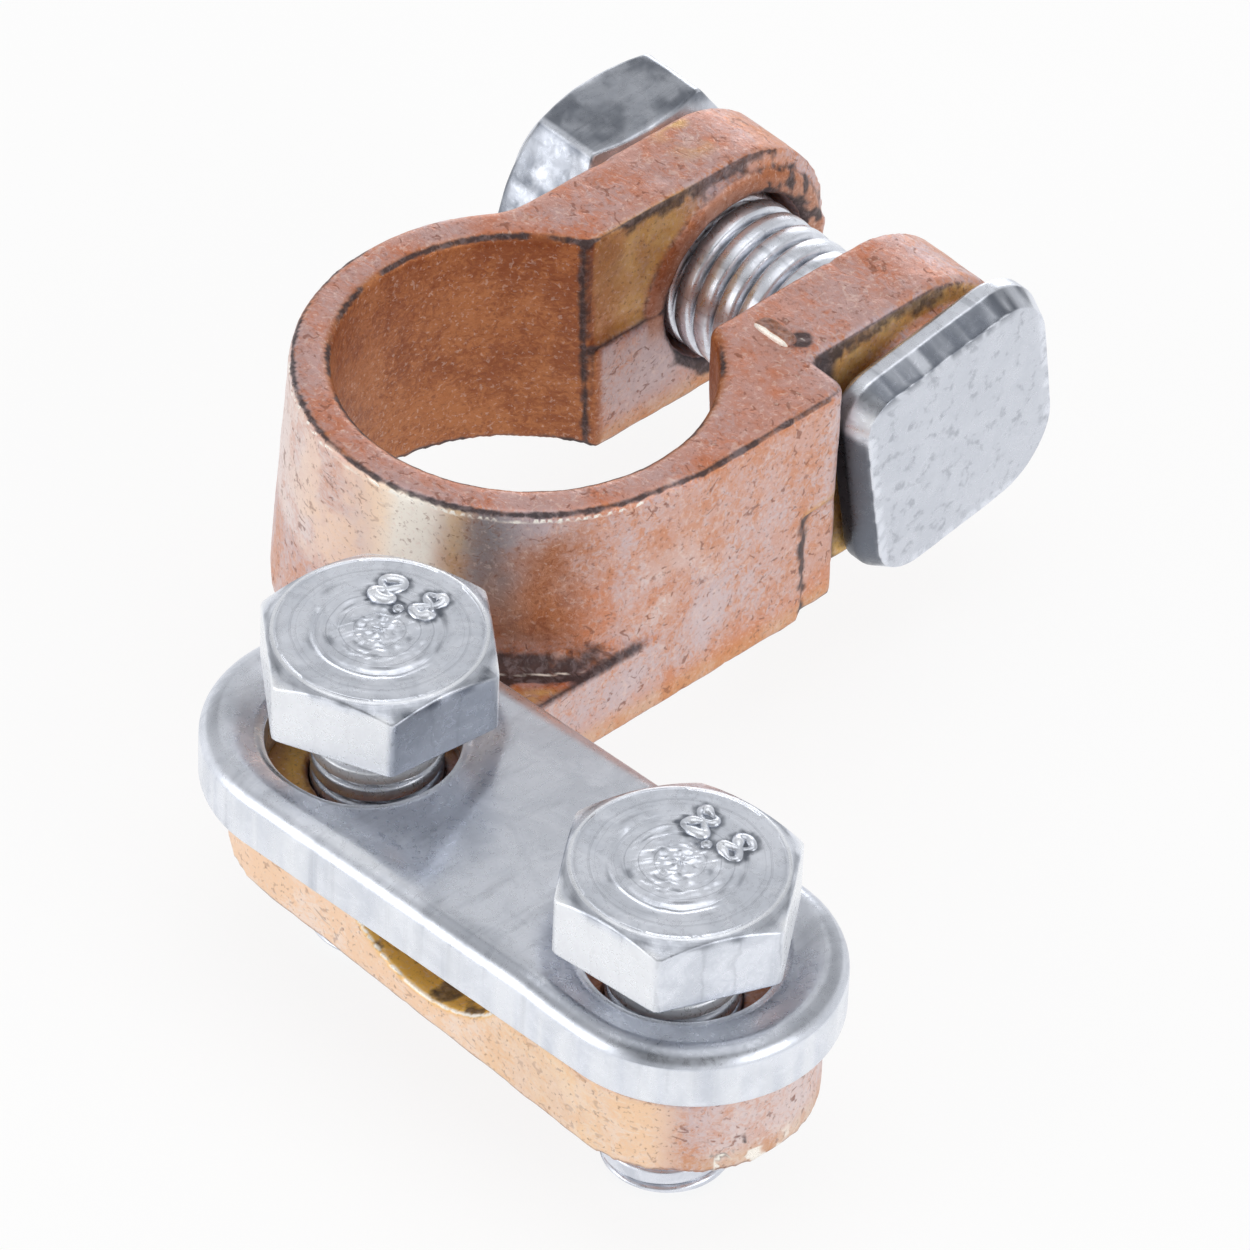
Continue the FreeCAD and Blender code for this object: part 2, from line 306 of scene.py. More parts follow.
class Nodes:
    """A node tree, with one short call for each kind of node that the finishes and the surroundings use."""

    def __init__(self, tree):
        self.tree = tree

    def put(self, value, socket):
        """Links a socket, or sets a number or colour; nothing is done for None."""
        if isinstance(value, bpy.types.NodeSocket):
            self.tree.links.new(value, socket)
        elif value is not None:
            if len(np.shape(value)) and len(value) == 3 and len(socket.default_value) == 4:
                value = (*value, 1)
            socket.default_value = value

    def node(self, kind, inputs, **settings):
        """New node with its settings, and a value or a link in each of the inputs, given by name or number."""
        node = self.tree.nodes.new("ShaderNode" + kind)
        for name, value in settings.items():
            setattr(node, name, value)
        for key, value in inputs.items():
            self.put(value, node.inputs[key])
        return node.outputs

    def math(self, operation, *values):
        return self.node("Math", dict(enumerate(values)), operation=operation)[0]

    def times(self, a, b):
        return self.math("MULTIPLY", a, b)

    def scaled(self, value, factor, more):
        return self.math("MULTIPLY_ADD", value, factor, more)

    def most(self, first, *others):
        """The greatest of the values."""
        for other in others:
            first = self.math("MAXIMUM", first, other)
        return first

    def rise(self, value, low, high, bottom=0.0, top=1.0):
        """Smooth step of a value between low and high, from bottom to top."""
        inputs = dict(enumerate((value, low, high, bottom, top)))
        return self.node("MapRange", inputs, interpolation_type="SMOOTHSTEP")[0]

    def mix(self, share, a, b, blend="MIX"):
        return self.node("Mix", {0: share, 6: a, 7: b}, data_type="RGBA", blend_type=blend)[2]


class Finish(Nodes):
    """A material's nodes and the colour that it has so far."""

    def __init__(self, name, colour):
        self.material = bpy.data.materials.new(name)
        self.material.use_nodes = True
        super().__init__(self.material.node_tree)
        self.shader = self.tree.nodes["Principled BSDF"]
        self.place = self.node("TexCoord", {})["Object"]
        self.colour = colour

    def coat(self, share, colour, blend="MIX"):
        """Lays a share of another colour over the finish."""
        self.colour = self.mix(share, self.colour, colour, blend)

    def own(self, name, share=None):
        """The piece's own point attribute, or a share of it."""
        value = self.node("Attribute", {}, attribute_name=name)["Fac"]
        return value if share is None else self.times(value, share)

    def stirred(self, value, grain, share):
        """A value made uneven by a noise whose mean is one half."""
        return self.scaled(grain, share, self.math("SUBTRACT", value, share / 2))

    def stretched(self, factors, centre=(0, 0, 0)):
        """Object place about a centre, scaled by one factor an axis."""
        moved = tuple(-c * f for c, f in zip(centre, factors))
        return self.node("Mapping", {"Vector": self.place, "Location": moved, "Scale": factors})[0]

    def noise(self, per_metre, detail, rough=0.55, twist=0.0, where=None):
        inputs = {"Vector": where or self.place, "Scale": per_metre, "Detail": detail}
        return self.node("TexNoise", inputs | {"Roughness": rough, "Distortion": twist})["Fac"]

    def short_strokes(self, per_metre, breaks, kept, stretch):
        """Short thin strokes: the middle contour of one noise, kept only where another is high."""
        wave = self.noise(per_metre, 1.5, 0.5, 0.2, self.stretched(stretch))
        line = self.math("ABSOLUTE", self.math("SUBTRACT", wave, 0.5))
        apart = self.noise(breaks, 2, 0.5, 0.0, self.stretched((1, 1, 1), (0.031, 0.017, 0.023)))
        return self.times(self.rise(line, 0.038, 0.010), self.rise(apart, kept, kept + 0.06))

    def relief(self, height, distance, strength, under=None):
        return self.node("Bump", {"Height": height, "Distance": distance, "Strength": strength, "Normal": under})[0]

    def finish(self, rough, normal, metallic):
        inputs = {"Base Color": self.colour, "Roughness": rough, "Normal": normal, "Metallic": metallic}
        for name, value in inputs.items():
            self.put(value, self.shader.inputs[name])
        return self.material


def copper_casting_finish(look):
    """Satin copper plating on a casting: pink and lilac patches, brown and pale flecks, gold and charcoal zones,
    painted highlights and reflections, and painted shade.
    """
    f = Finish("copper_plated_casting", look.orange)
    patches = f.noise(230, 5, 0.62, 0.2, f.stretched((1, 1, 0.65)))
    warm = f.noise(460, 5, 0.66, 0.3)
    grit = f.noise(2100, 3, 0.7, 0.5)
    fine = f.noise(4300, 3, 0.6, 0.4)
    strokes = f.noise(2300, 3, 0.6, 1.2)
    grain = f.noise(7000, 2, 0.6, 0.5)
    smear = f.noise(1900, 4, 0.72, 1.4, f.stretched((0.7, 1.2, 1.2)))
    patchy = f.stirred(patches, smear, 0.8)
    warmed = f.stirred(warm, grit, 0.7)

    f.coat(f.rise(warmed, 0.36, 0.62), look.copper)
    f.coat(f.rise(patchy, 0.40, 0.66, 0.0, 0.85), look.lilac)
    f.coat(f.own("warm", f.rise(warmed, 0.30, 0.60, 1.0, 0.45)), look.deep_orange)
    # Painted shade: the upper faces made deeper copper.
    f.coat(f.own("upper", 0.9), look.painted_top_shade, "MULTIPLY")
    f.coat(f.own("upper", f.rise(warm, 0.35, 0.6, 0.15, 0.5)), look.top_haze)
    f.coat(f.own("silver", f.rise(patchy, 0.35, 0.60, 0.45, 0.95)), look.silver)
    f.coat(f.own("peach"), f.mix(f.rise(patchy, 0.38, 0.60, 0.0, 0.8), look.peach, look.peach_gold))
    # The painted dark reflection band on the ring's front.
    f.coat(f.own("painted_dark_band", 0.9), look.painted_dark_band)
    golden = f.mix(f.rise(warm, 0.35, 0.65), look.gold, look.gold_light)
    f.coat(f.own("gold", f.rise(grit, 0.25, 0.6, 0.6, 1.0)), golden)
    # The painted highlight down the ring's front.
    f.coat(f.own("glow"), look.glow)
    f.coat(f.own("shade"), f.mix(f.rise(patchy, 0.35, 0.62), look.bore, look.bore_light))
    f.coat(f.own("amber", f.rise(grit, 0.25, 0.55, 0.55, 1.0)), look.amber)

    calm = f.scaled(f.most(f.own("gold"), f.own("shade"), f.own("glow")), -0.88, 1.0)
    rubbed = f.short_strokes(1150, 900, 0.55, (1.3, 0.8, 1.0))
    f.coat(f.times(rubbed, f.times(calm, 0.28)), look.pale)
    dents = f.times(f.short_strokes(950, 1500, 0.56, (0.7, 1.0, 1.3)), calm)
    f.coat(f.times(dents, f.scaled(f.own("peach"), -0.3, 0.65)), look.fleck)
    f.coat(f.rise(fine, 0.57, 0.70, 0.0, 0.5), look.fleck)
    f.coat(f.rise(fine, 0.43, 0.32, 0.0, 0.35), look.pale)
    # Oxidised charcoal and painted shade.
    oxide_and_shade = f.rise(f.stirred(f.own("oxide_and_shade"), strokes, 0.4), 0.22, 0.85, 0.0, 0.92)
    f.coat(oxide_and_shade, f.mix(f.rise(grit, 0.45, 0.68), look.oxide_and_shade, look.oxide_light))
    # Worn edges and painted highlights.
    bright = f.rise(f.stirred(f.own("bright"), grit, 0.3), 0.30, 0.75)
    f.coat(bright, look.bright)

    rough = f.scaled(oxide_and_shade, 0.14, f.rise(grit, 0.3, 0.7, look.rough_low, look.rough_high))
    rough = f.scaled(bright, -0.16, rough)
    satin = f.most(f.own("peach"), f.own("amber"), f.own("glow"), bright, f.own("silver", 0.6))
    lumps = f.relief(smear, 0.00008, 0.45)
    skin = f.relief(f.scaled(dents, -0.6, fine), 0.00004, 0.5, lumps)
    return f.finish(rough, f.relief(grain, 0.000012, 0.4, skin), f.scaled(satin, -0.40, 0.62))


def zinc_finish(name, look, streak, centre=None, depth=1.0, cloudy=1.0, satin=0.0):
    """Bright zinc plating: grey clouds, fine scratches along one direction or round a centre, pale worn edges, and
    painted light and shade.

    Values above 0 lighten it, for worn edges and painted light; values below 0 darken it, for scores, stained clouds
    and painted shade, to the line colour at -1 and to the darkest zinc at -2. satin takes that much of the metallic
    gloss off the pale parts.
    """
    f = Finish(name, look.zinc_dark)
    clouds = f.noise(420, 4, 0.6, 0.8)
    mottle = f.noise(1900, 4, 0.65, 1.5)
    if centre is None:
        lines = f.noise(1500, 3, 0.6, 0.2, f.stretched(streak))
    else:
        away = f.node("VectorMath", {0: f.stretched(streak, centre)}, operation="LENGTH")["Value"]
        wobble = f.times(f.noise(700, 2), 0.0002)
        rings = f.node("CombineXYZ", {0: f.math("ADD", away, wobble)})[0]
        lines = f.noise(4600, 3, 0.65, 0.0, rings)
    f.coat(f.rise(clouds, 0.38, 0.62, 1.0 - cloudy, 1.0), look.zinc)
    f.coat(f.rise(mottle, 0.50, 0.70, 0.0, 0.5 * cloudy), look.zinc_dark)
    f.coat(f.rise(lines, 0.53, 0.72, 0.0, 0.5 * depth), look.zinc_shadow)
    # Above 0: worn edges and painted light; below 0: scores, stained clouds and painted shade.
    worn, dark = f.most(f.own("wear"), 0.0), f.own("wear", -1.0)
    f.coat(f.times(worn, 0.8), look.zinc_bright)
    f.coat(f.rise(dark, 0.0, 1.0), look.zinc_shadow)
    f.coat(f.rise(dark, 1.0, 2.0), look.zinc_darkest)
    rough = f.rise(mottle, 0.3, 0.7, look.zinc_rough - 0.06, look.zinc_rough + 0.10)
    skin = f.relief(lines, 0.00002, 0.35 * depth, f.relief(mottle, 0.00002, 0.25))
    return f.finish(rough, skin, f.scaled(worn, -satin, 0.9) if satin else 0.9)


# Casting


def casting_zones(p, n):
    """Weights from 0 to 1 of the casting's coloured zones, from place p (mm) and outward direction n of each point.

    Each zone is a sum of products of smooth steps and bell curves of the distances to the feature it lies on,
    broken up by noise.
    """
    x, y, z = p.T
    nx, ny, nz = n.T
    rough, fine = layered_noise(p, 1.4, 11), layered_noise(p, 0.5, 12, 2)

    # The ring: bore, outer wall, top and rims
    away = np.hypot(x, y)
    angle = np.degrees(np.arctan2(y, x))
    leaning = angle - 1.2 * (BODY_TOP - z) * smooth(11.5, 5.0, z)
    outward = (nx * x + ny * y) / np.maximum(away, 1e-6)
    bore_r = BORE_RADIUS + np.maximum(TAPER_TOP - z, 0) * TAPER
    in_bore = smooth(bore_r + 0.5, bore_r + 0.2, away) * smooth(0.1, -0.3, outward) * smooth(9.2, 8.2, y)
    wall = smooth(0.6, 0.9, outward) * smooth(4.9, 6.2, z)
    beyond = away - (RING_RADIUS + (BODY_TOP - z) * RING_DRAFT)
    sidewall = smooth(0.5, 0.2, np.abs(nz)) * (1 - in_bore)
    at_top = smooth(12.3, 12.6, z)
    top_edge = smooth(12.0, 12.3, z) * smooth(0.97, 0.88, nz) * smooth(0.35, 0.55, nz)
    outer_edge = top_edge * smooth(9.6, 10.0, away) * np.where(x > 0, smooth(11.0, 8.0, y), smooth(4.0, -2.0, y))
    under_edge = smooth(12.05, 12.2, z) * bell(nz, 0.27, 0.10) * smooth(10.2, 10.6, away)

    # The ears: inner flanks round the bolt, steps and the foot of the cast bar
    bolt_d = np.hypot(y - BOLT_AXIS_Y, z - BOLT_AXIS_Z)
    left_flank = bell(x, -4.0, 0.6) * smooth(0.3, 0.8, nx) * smooth(6.8, 7.6, y)
    right_flank = bell(x, 3.8, 0.6) * smooth(-0.3, -0.8, nx) * smooth(6.8, 7.6, y)
    high_flank = left_flank * smooth(6.1, 6.5, z)
    notch_width = 0.30 + 0.28 * smooth(3.5, 6.3, z) + 0.14 * fine
    notch = bell(y, 7.5 + 0.12 * rough, notch_width) * smooth(9.8, 10.3, x) * smooth(6.5, 6.1, z)
    bar_end = np.hypot(x - 7.25, y - 10.45)
    bar_foot = bell(x, 6.3, 1.5) * bell(y, 10.2, 0.85) * smooth(0.9, 0.98, nz) * at_top
    ear_tip = smooth(0.9, 0.98, nz) * smooth(12.2, 12.5, z) * smooth(14.5, 17.0, y) * smooth(-5.0, -6.0, x)

    # The tongue and the saddle
    low_level = bell(z, SADDLE_TOP, 0.3)
    on_web = smooth(3.0, 4.5, x) * smooth(11.3, 10.0, x) * smooth(3.9, 4.1, z) * smooth(2.0, -1.0, y)
    on_tongue = low_level * smooth(0.7, 0.9, nz) * on_web
    above_tongue = z - SADDLE_TOP
    from_crease = np.hypot(np.maximum(beyond, 0), np.maximum(above_tongue, 0))
    saddle_top = smooth(0.8, 0.95, nz) * low_level
    saddle_side = smooth(0.6, 0.2, np.abs(nz)) * smooth(4.4, 4.2, z)
    under_plate = saddle_top * smooth(-10.2, -11.0, y)
    groove_d = np.hypot(x - SADDLE_X, z - GROOVE_Z)
    in_groove = smooth(6.5, 6.25, groove_d) * smooth(4.3, 4.1, z) * smooth(-9.5, -10.5, y)
    groove_mouth = in_groove * smooth(-21.0, -22.6, y)
    left_hole = np.hypot(x - LEFT_SCREW_X, y - SCREW_Y)
    far_end = bell(x, 34.6, 1.0) * smooth(-14.0, -17.5, y) * smooth(2.2, 0.6, z)

    zones = {
        # Charcoal oxidised patches in hollows, corners and along edges, and painted shade in the crease, beside the
        # bolt head, on the cast bar's unlit side and in dark lines along the top edges.
        "oxide_and_shade": (
            # Painted dark reflection: thin dark lines along the outer top edge and along the top edge of the bore.
            outer_edge * (0.85 + 0.3 * fine),
            0.8 * top_edge * smooth(9.6, 9.2, away) * smooth(9.5, 8.5, y) * smooth(-1.1, -0.1, rough),
            0.49 * smooth(0.6, 0.15, z + 0.2 * rough) * in_bore * smooth(-0.3, 0.4, fine),
            0.6 * smooth(0.5, 0.15, z) * smooth(0.98, 0.6, -nz) * smooth(-0.05, -0.4, nz),
            0.85 * bell(x, -4.35, 0.20 + 0.10 * fine) * in_bore * smooth(6.0, 7.2, y),
            0.8 * bell(x, -3.9, 0.2) * bell(y, 7.95, 0.3),
            0.8 * bell(bolt_d, 4.45, 0.30 + 0.2 * rough) * (left_flank + right_flank),
            0.9 * left_flank * smooth(5.9, 5.0, bolt_d + 0.9 * rough) * smooth(3.4, 2.2, z),
            left_flank * smooth(17.0, 19.5, y) * bell(bolt_d, 5.2, 0.8) * smooth(-0.4, 0.5, fine) * smooth(5.0, 7.0, z),
            0.75 * left_flank * bell(z, 6.2, 0.16 + 0.08 * fine) * smooth(14.5, 12.5, y),
            0.55 * high_flank * bell(bolt_d, 5.75, 0.2 + 0.1 * fine),
            0.7 * left_flank * smooth(12.3, 12.55, z) * smooth(-0.8, 0.3, fine) * smooth(14.0, 11.5, y),
            notch * (0.85 + 0.4 * fine),
            0.8 * bell(y, 10.1, 0.5) * smooth(4.5, 6.0, x) * smooth(0.3, 0.8, ny),
            # Painted shadow of the bolt head on the right ear's outer face.
            smooth(0.8, 0.95, nx) * bell(y, 10.6, 0.9) * smooth(7.0, 8.5, x),
            0.7 * smooth(0.5, 0.8, nx) * smooth(11.4, 12.2, z + 0.4 * fine) * smooth(9.5, 10.5, y) * (x < 9.3),
            0.9 * bar_foot * smooth(-0.35, 0.5, rough),
            # Painted dark ring round the painted glint at the cast bar's end.
            bell(bar_end, 0.25, 0.22) * at_top,
            # Painted shade in the crease where the ring meets the tongue, and on the tongue beside it.
            0.85 * smooth(1.5, 0.3, above_tongue + 0.5 * rough + 0.15 * fine) * on_web * smooth(1.3, 0.9, beyond),
            0.95 * smooth(0.85, 1.05, beyond) * smooth(1.8, 1.3, beyond + 0.4 * rough) * on_tongue,
            0.8 * bell(x, 10.85, 0.22) * bell(z, 4.15, 0.3) * smooth(-1.5, -3.0, y) * smooth(-12.5, -11.0, y),
            0.7 * in_groove * smooth(-0.1, 0.4, rough) * smooth(-20.5, -21.5, y),
            1.2 * bell(x, 34.6, 0.9) * bell(z, 1.2, 0.7) * smooth(-17.0, -19.0, y) * smooth(-0.1, 0.5, fine),
        ),
        "gold": (
            # Painted reflection: a golden band down the ring's front, beside the painted highlight.
            0.65 * bell(angle, -60.0, 3.6) * wall,
            0.35 * smooth(1.6, 0.4, z) * smooth(0.6, 0.9, nx),
            0.95 * high_flank * smooth(5.6, 5.9, bolt_d) * smooth(15.5, 13.0, y),
            0.9 * smooth(0.8, 0.95, nx) * smooth(10.6, 11.4, y) * smooth(7.0, 8.5, x),
            0.6 * bell(z, 6.35, 0.2) * smooth(7.2, 7.5, y) * smooth(10.3, 10.6, x),
            0.7 * ear_tip * smooth(-0.2, 0.5, rough),
            0.95 * on_tongue * smooth(1.4, 1.9, beyond) * smooth(-0.9, 0.3, fine),
            0.75 * saddle_top * smooth(-9.0, -10.0, y) * smooth(-11.6, -10.6, y),
            under_plate * bell(left_hole, 4.3, 0.45),
            0.35 * saddle_side * bell(x, 27.0, 5.0) * smooth(-20.0, -22.0, y),
            # Painted reflection: gold inside the cable's groove.
            in_groove - 0.5 * groove_mouth,
        ),
        # Painted reflection: bright amber inside the cable's groove.
        "amber": (in_groove, 0.7 * under_plate * bell(left_hole, 3.6, 0.5) * smooth(9.0, 7.5, x)),
        "peach": (
            # Painted light: peach bands round the ring's front, over and left of the painted highlight.
            0.9 * bell(angle, -75, 8.0) * wall,
            0.6 * bell(angle, -95, 18) * wall * smooth(-0.6, 0.3, rough),
            # Painted highlight: a light streak across the left ear's inner flank.
            0.5 * high_flank * bell(y + 0.2 * z, 12.3, 0.7) * smooth(5.6, 5.9, bolt_d),
            0.9 * smooth(-21.0, -22.4, y) * saddle_side * smooth(35.0, 33.6, x) * smooth(2.2, 6.5, x + rough),
            # Painted reflection: peach at the groove's mouth.
            0.45 * groove_mouth,
        ),
        "silver": (
            0.9 * bell(angle, -118, 26) * wall,
            0.8 * bell(x, 11.0, 0.6) * bell(y, -1.0, 2.4) * bell(z, 7.0, 2.6) * smooth(-0.3, 0.5, rough),
            0.6 * far_end * smooth(-0.4, 0.3, fine),
            0.4 * saddle_side * smooth(33.5, 35.0, x),
            # Painted light: a pale haze on every wall but the bore.
            0.28 * smooth(0.3, 0.0, np.abs(nz)) * (1 - in_bore),
        ),
        # Painted highlight: a nearly white stripe down the ring's front, standing in for a reflection.
        "glow": (np.clip(1.2 * bell(angle, -70.5 + rough, 8.0), 0, 1) * wall * smooth(4.5, 6.5, z),),
        # Painted reflection: a dark bluish band down the ring's front, beside the painted highlight.
        "painted_dark_band": (0.85 * bell(leaning, -51.5, 7.5 + 1.5 * rough) * wall,),
        "bright": (
            # Painted highlight: a thin white line under the dark line of the outer top edge.
            0.9 * under_edge * smooth(0.0, -3.0, y) * smooth(11.3, 10.0, x),
            0.6 * under_edge * smooth(0.1, 0.6, fine) * (y < 6),
            # Painted glint at the cast bar's end.
            bell(bar_end, 0, 0.12) * at_top,
            # Painted highlight: a thin white line along that crease.
            bell(beyond, 0.72, 0.10) * bell(z, 4.5, 0.5) * on_web * smooth(-0.9, -0.3, fine),
            0.8 * bell(groove_d, 6.3, 0.08) * smooth(4.3, 4.1, z) * smooth(-22.6, -23.0, y),
            0.9 * far_end * smooth(0.0, 0.4, fine),
        ),
        "shade": (
            in_bore,
            0.55 * smooth(-0.6, -0.9, nz),
            # Painted shade: dark brown bands down the ring's front, beside the painted dark band.
            0.85 * bell(angle, -37 + 2 * rough, 9.0) * wall * smooth(12.6, 10.5, z + rough),
            0.5 * bell(angle, -51 + 2 * rough, 6.0) * wall * smooth(9.5, 7.0, z + rough),
            0.8 * left_flank * smooth(5.9, 5.5, bolt_d) * smooth(4.0, 6.0, z),
            0.65 * high_flank * smooth(10.8, 9.2, y - 0.25 * (z - 9.0) + 0.4 * rough),
            0.6 * under_plate,
        ),
        # Painted shade: the upper faces, made deeper copper than the walls.
        "upper": (smooth(0.9, 0.98, nz) * smooth(11.5, 12.2, z),),
        "warm": (
            0.9 * sidewall * smooth(2.6 + 0.8 * rough, 0.6, z) * smooth(-9.0, -6.0, y),
            0.8 * on_web * smooth(4.8, 2.0, from_crease + rough),
            0.5 * bell(angle, -40, 18) * wall * smooth(9.5, 5.5, z),
        ),
    }
    return {name: np.clip(sum(terms), 0, 1) for name, terms in zones.items()}


def casting_relief(p, n):
    """Height in mm of the casting's skin over its true form: low swells, pits and rough oxide beads.

    The post's bore and the plate's seat stay nearly true, so nothing that bears on them is lifted.
    """
    swell = 0.035 * layered_noise(p, 3.2, 21, 2)
    grit = 0.018 * layered_noise(p, 0.8, 22, 2)
    pits = -0.06 * smooth(0.62, 0.95, lattice_noise(p, 0.9, 23))
    away = np.hypot(p[:, 0], p[:, 1])
    seat = smooth(0.8, 0.95, n[:, 2]) * smooth(-10.0, -11.0, p[:, 1])
    bore = smooth(9.9, 9.5, away) * (p[:, 1] < 8.5)
    return (swell + grit + pits) * (1 - 0.85 * seat) * (1 - 0.7 * bore)


def remeshed_copy(name, node, look):
    """Copy of a CAD node as one even skin of small quads, so that it can carry soft edges and relief."""
    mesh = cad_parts[node].data.copy()
    mesh.name = name
    piece = linked(name, mesh)
    weld(mesh, 1e-6)
    remesh = piece.modifiers.new("even_skin", "REMESH")
    remesh.mode = "VOXEL"
    remesh.voxel_size = look.voxel
    soften = piece.modifiers.new("soft_edges", "SMOOTH")
    soften.factor = 0.5
    soften.iterations = look.softening
    even = bpy.data.meshes.new_from_object(piece.evaluated_get(bpy.context.evaluated_depsgraph_get()))
    piece.modifiers.clear()
    piece.data = even
    bpy.data.meshes.remove(mesh)
    return piece


def mesh_arrays(mesh):
    """Place in mm and outward direction of each point."""
    points = np.empty(len(mesh.vertices) * 3)
    mesh.vertices.foreach_get("co", points)
    normals = np.empty(len(mesh.vertices) * 3)
    mesh.vertex_normals.foreach_get("vector", normals)
    return points.reshape(-1, 3) / MM, normals.reshape(-1, 3)


class CLAMP_OT_casting(bpy.types.Operator):
    """Builds the copper-plated casting: soft-edged skin over the CAD form, with relief and coloured zones"""

    bl_idname = "clamp.casting"
    bl_label = "Casting"

    def execute(self, context):
        look = context.scene.clamp_casting
        piece = remeshed_copy("casting_skin", "terminal_body", look)
        p, n = mesh_arrays(piece.data)
        zones = casting_zones(p, n)
        height = casting_relief(p, n) + 0.02 * zones["oxide_and_shade"] * layered_noise(p, 0.45, 31, 2)
        piece.data.vertices.foreach_set("co", ((p + n * height[:, None]) * MM).ravel())
        for name, weight in zones.items():
            paint(piece.data, name, weight)
        shade_smooth(piece.data)
        finish = copper_casting_finish(look)
        mount(piece, "terminal_body", finish)
        bar = cast_bar()
        bar.data.materials.append(finish)
        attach(bar, "terminal_body")
        return {"FINISHED"}


def cast_bar():
    """Raised cast bar on the shoulder: a low dome whose outline is a long superellipse, sunk a little at its foot."""
    theta = around(64)
    outline = (np.abs(np.cos(theta)) ** 4 + np.abs(np.sin(theta)) ** 4) ** -0.25
    oval = np.stack([1.15 * outline * np.cos(theta), 0.50 * outline * np.sin(theta)], -1)
    rows = []
    for t in np.linspace(0, 1, 14):
        dome = BODY_TOP - 0.06 + 0.34 * (1 - t**3)
        rows.append(level([BAR_X, BAR_Y] + oval * math.sin(t * math.pi / 2), dome))
    rows.append(rows[-1] * [0, 0, 1] + [BAR_X, BAR_Y, -0.1])
    grid = np.stack(rows)
    grid[..., 2] += 0.05 * layered_noise(grid, 0.5, 41, 2)
    piece = surface_piece("cast_bar", [(grid, False, True)])
    lit = smooth(-0.2, -0.6, mesh_arrays(piece.data)[1][:, 1])
    # Painted light and shade: the side facing -Y is painted lit, bright and gold; the other side is painted dark, and
    # the whole bar a little brown.
    weights = {"bright": lit, "gold": 0.6 * lit, "oxide_and_shade": 0.55 * (1 - lit), "shade": 0.3 + 0 * lit}
    for name, weight in weights.items():
        paint(piece.data, name, weight)
    return piece


# Screws, bolt and nut


def screw_profile(theta, turn):
    """Rows of a cable screw from the middle of its top to the middle of its tip, and how many belong to its head.

    The top disc carries turning marks, a 30 degree cone meets the hexagon's faces in arcs, and the thread follows
    under the head.
    """
    disc = DISC_SHARE * SCREW_WIDTH / 2
    hexagon = hexagon_radius(theta, SCREW_WIDTH, turn)
    rows = [(r, SCREW_HEAD + top_marks(r, theta - math.radians(turn))) for r in np.linspace(0, disc - 0.1, TOP_ROWS)]
    outline = [
        (disc - 0.1, SCREW_HEAD),
        (disc, SCREW_HEAD),
        (hexagon, SCREW_HEAD - (hexagon - disc) * CHAMFER),
        (hexagon, 0),
        (SCREW_RADIUS + 0.35, 0),
        (SCREW_RADIUS, -0.12),
    ]
    rows += densified(softened(spread(theta, outline), 0.13), 0.45)
    return rows + thread_rows(theta, SCREW_RADIUS, SCREW_PITCH, -0.12, -SCREW_LENGTH, SCREW_TIP), len(rows)


def top_marks(r, a):
    """Height of the marks on a screw's top: fine rings, one deeper broken ring and a worn patch near the middle."""
    place = np.stack([r * np.cos(a), r * np.sin(a), 0 * a], -1)
    arcs = 0.038 * arc_noise(r, a) * (0.30 + math.exp(-((r / 3.1) ** 4)))
    broken = smooth(-0.1, 0.5, np.cos(a - 0.35) + 0.5 * lattice_noise(place, 0.8, 51))
    patch = layered_noise(place * [1, 1.8, 1], 0.6, 52, 2) * math.exp(-((r / 2.3) ** 4))
    rings = 0.02 * bell(r, 4.35, 0.2) - 0.10 * bell(r, 2.9, 0.16) * broken
    return arcs + rings + 0.05 * patch + 0.012 * lattice_noise(place, 1.2, 53)


def strength_marks(turn):
    """Raised, worn plain number on a screw's top: two figures of eight with a dot between them."""
    marks = []
    for shift in (-1.06, 1.06):
        path = figure_eight(0.98, 1.48) + [shift, 2.45, 0]
        bent = [lattice_noise(path + [turn, 9 * k, 0], 0.6, 62) for k in range(3)]
        path += 0.13 * np.stack(bent, -1) * [1, 1, 0.6]
        marks.append(tube(path, 0.25 + 0.12 * lattice_noise(path + [turn, 0, 0], 0.45, 61)))
    t = around(20)
    marks.append(tube(np.stack([0.12 * np.cos(t), 1.62 + 0.12 * np.sin(t), 0 * t], -1), 0.18))
    return [turned(grid * [1, 1, 0.85] + [0, 0, SCREW_HEAD - 0.06], turn + NUMBER_TURN) for grid in marks]


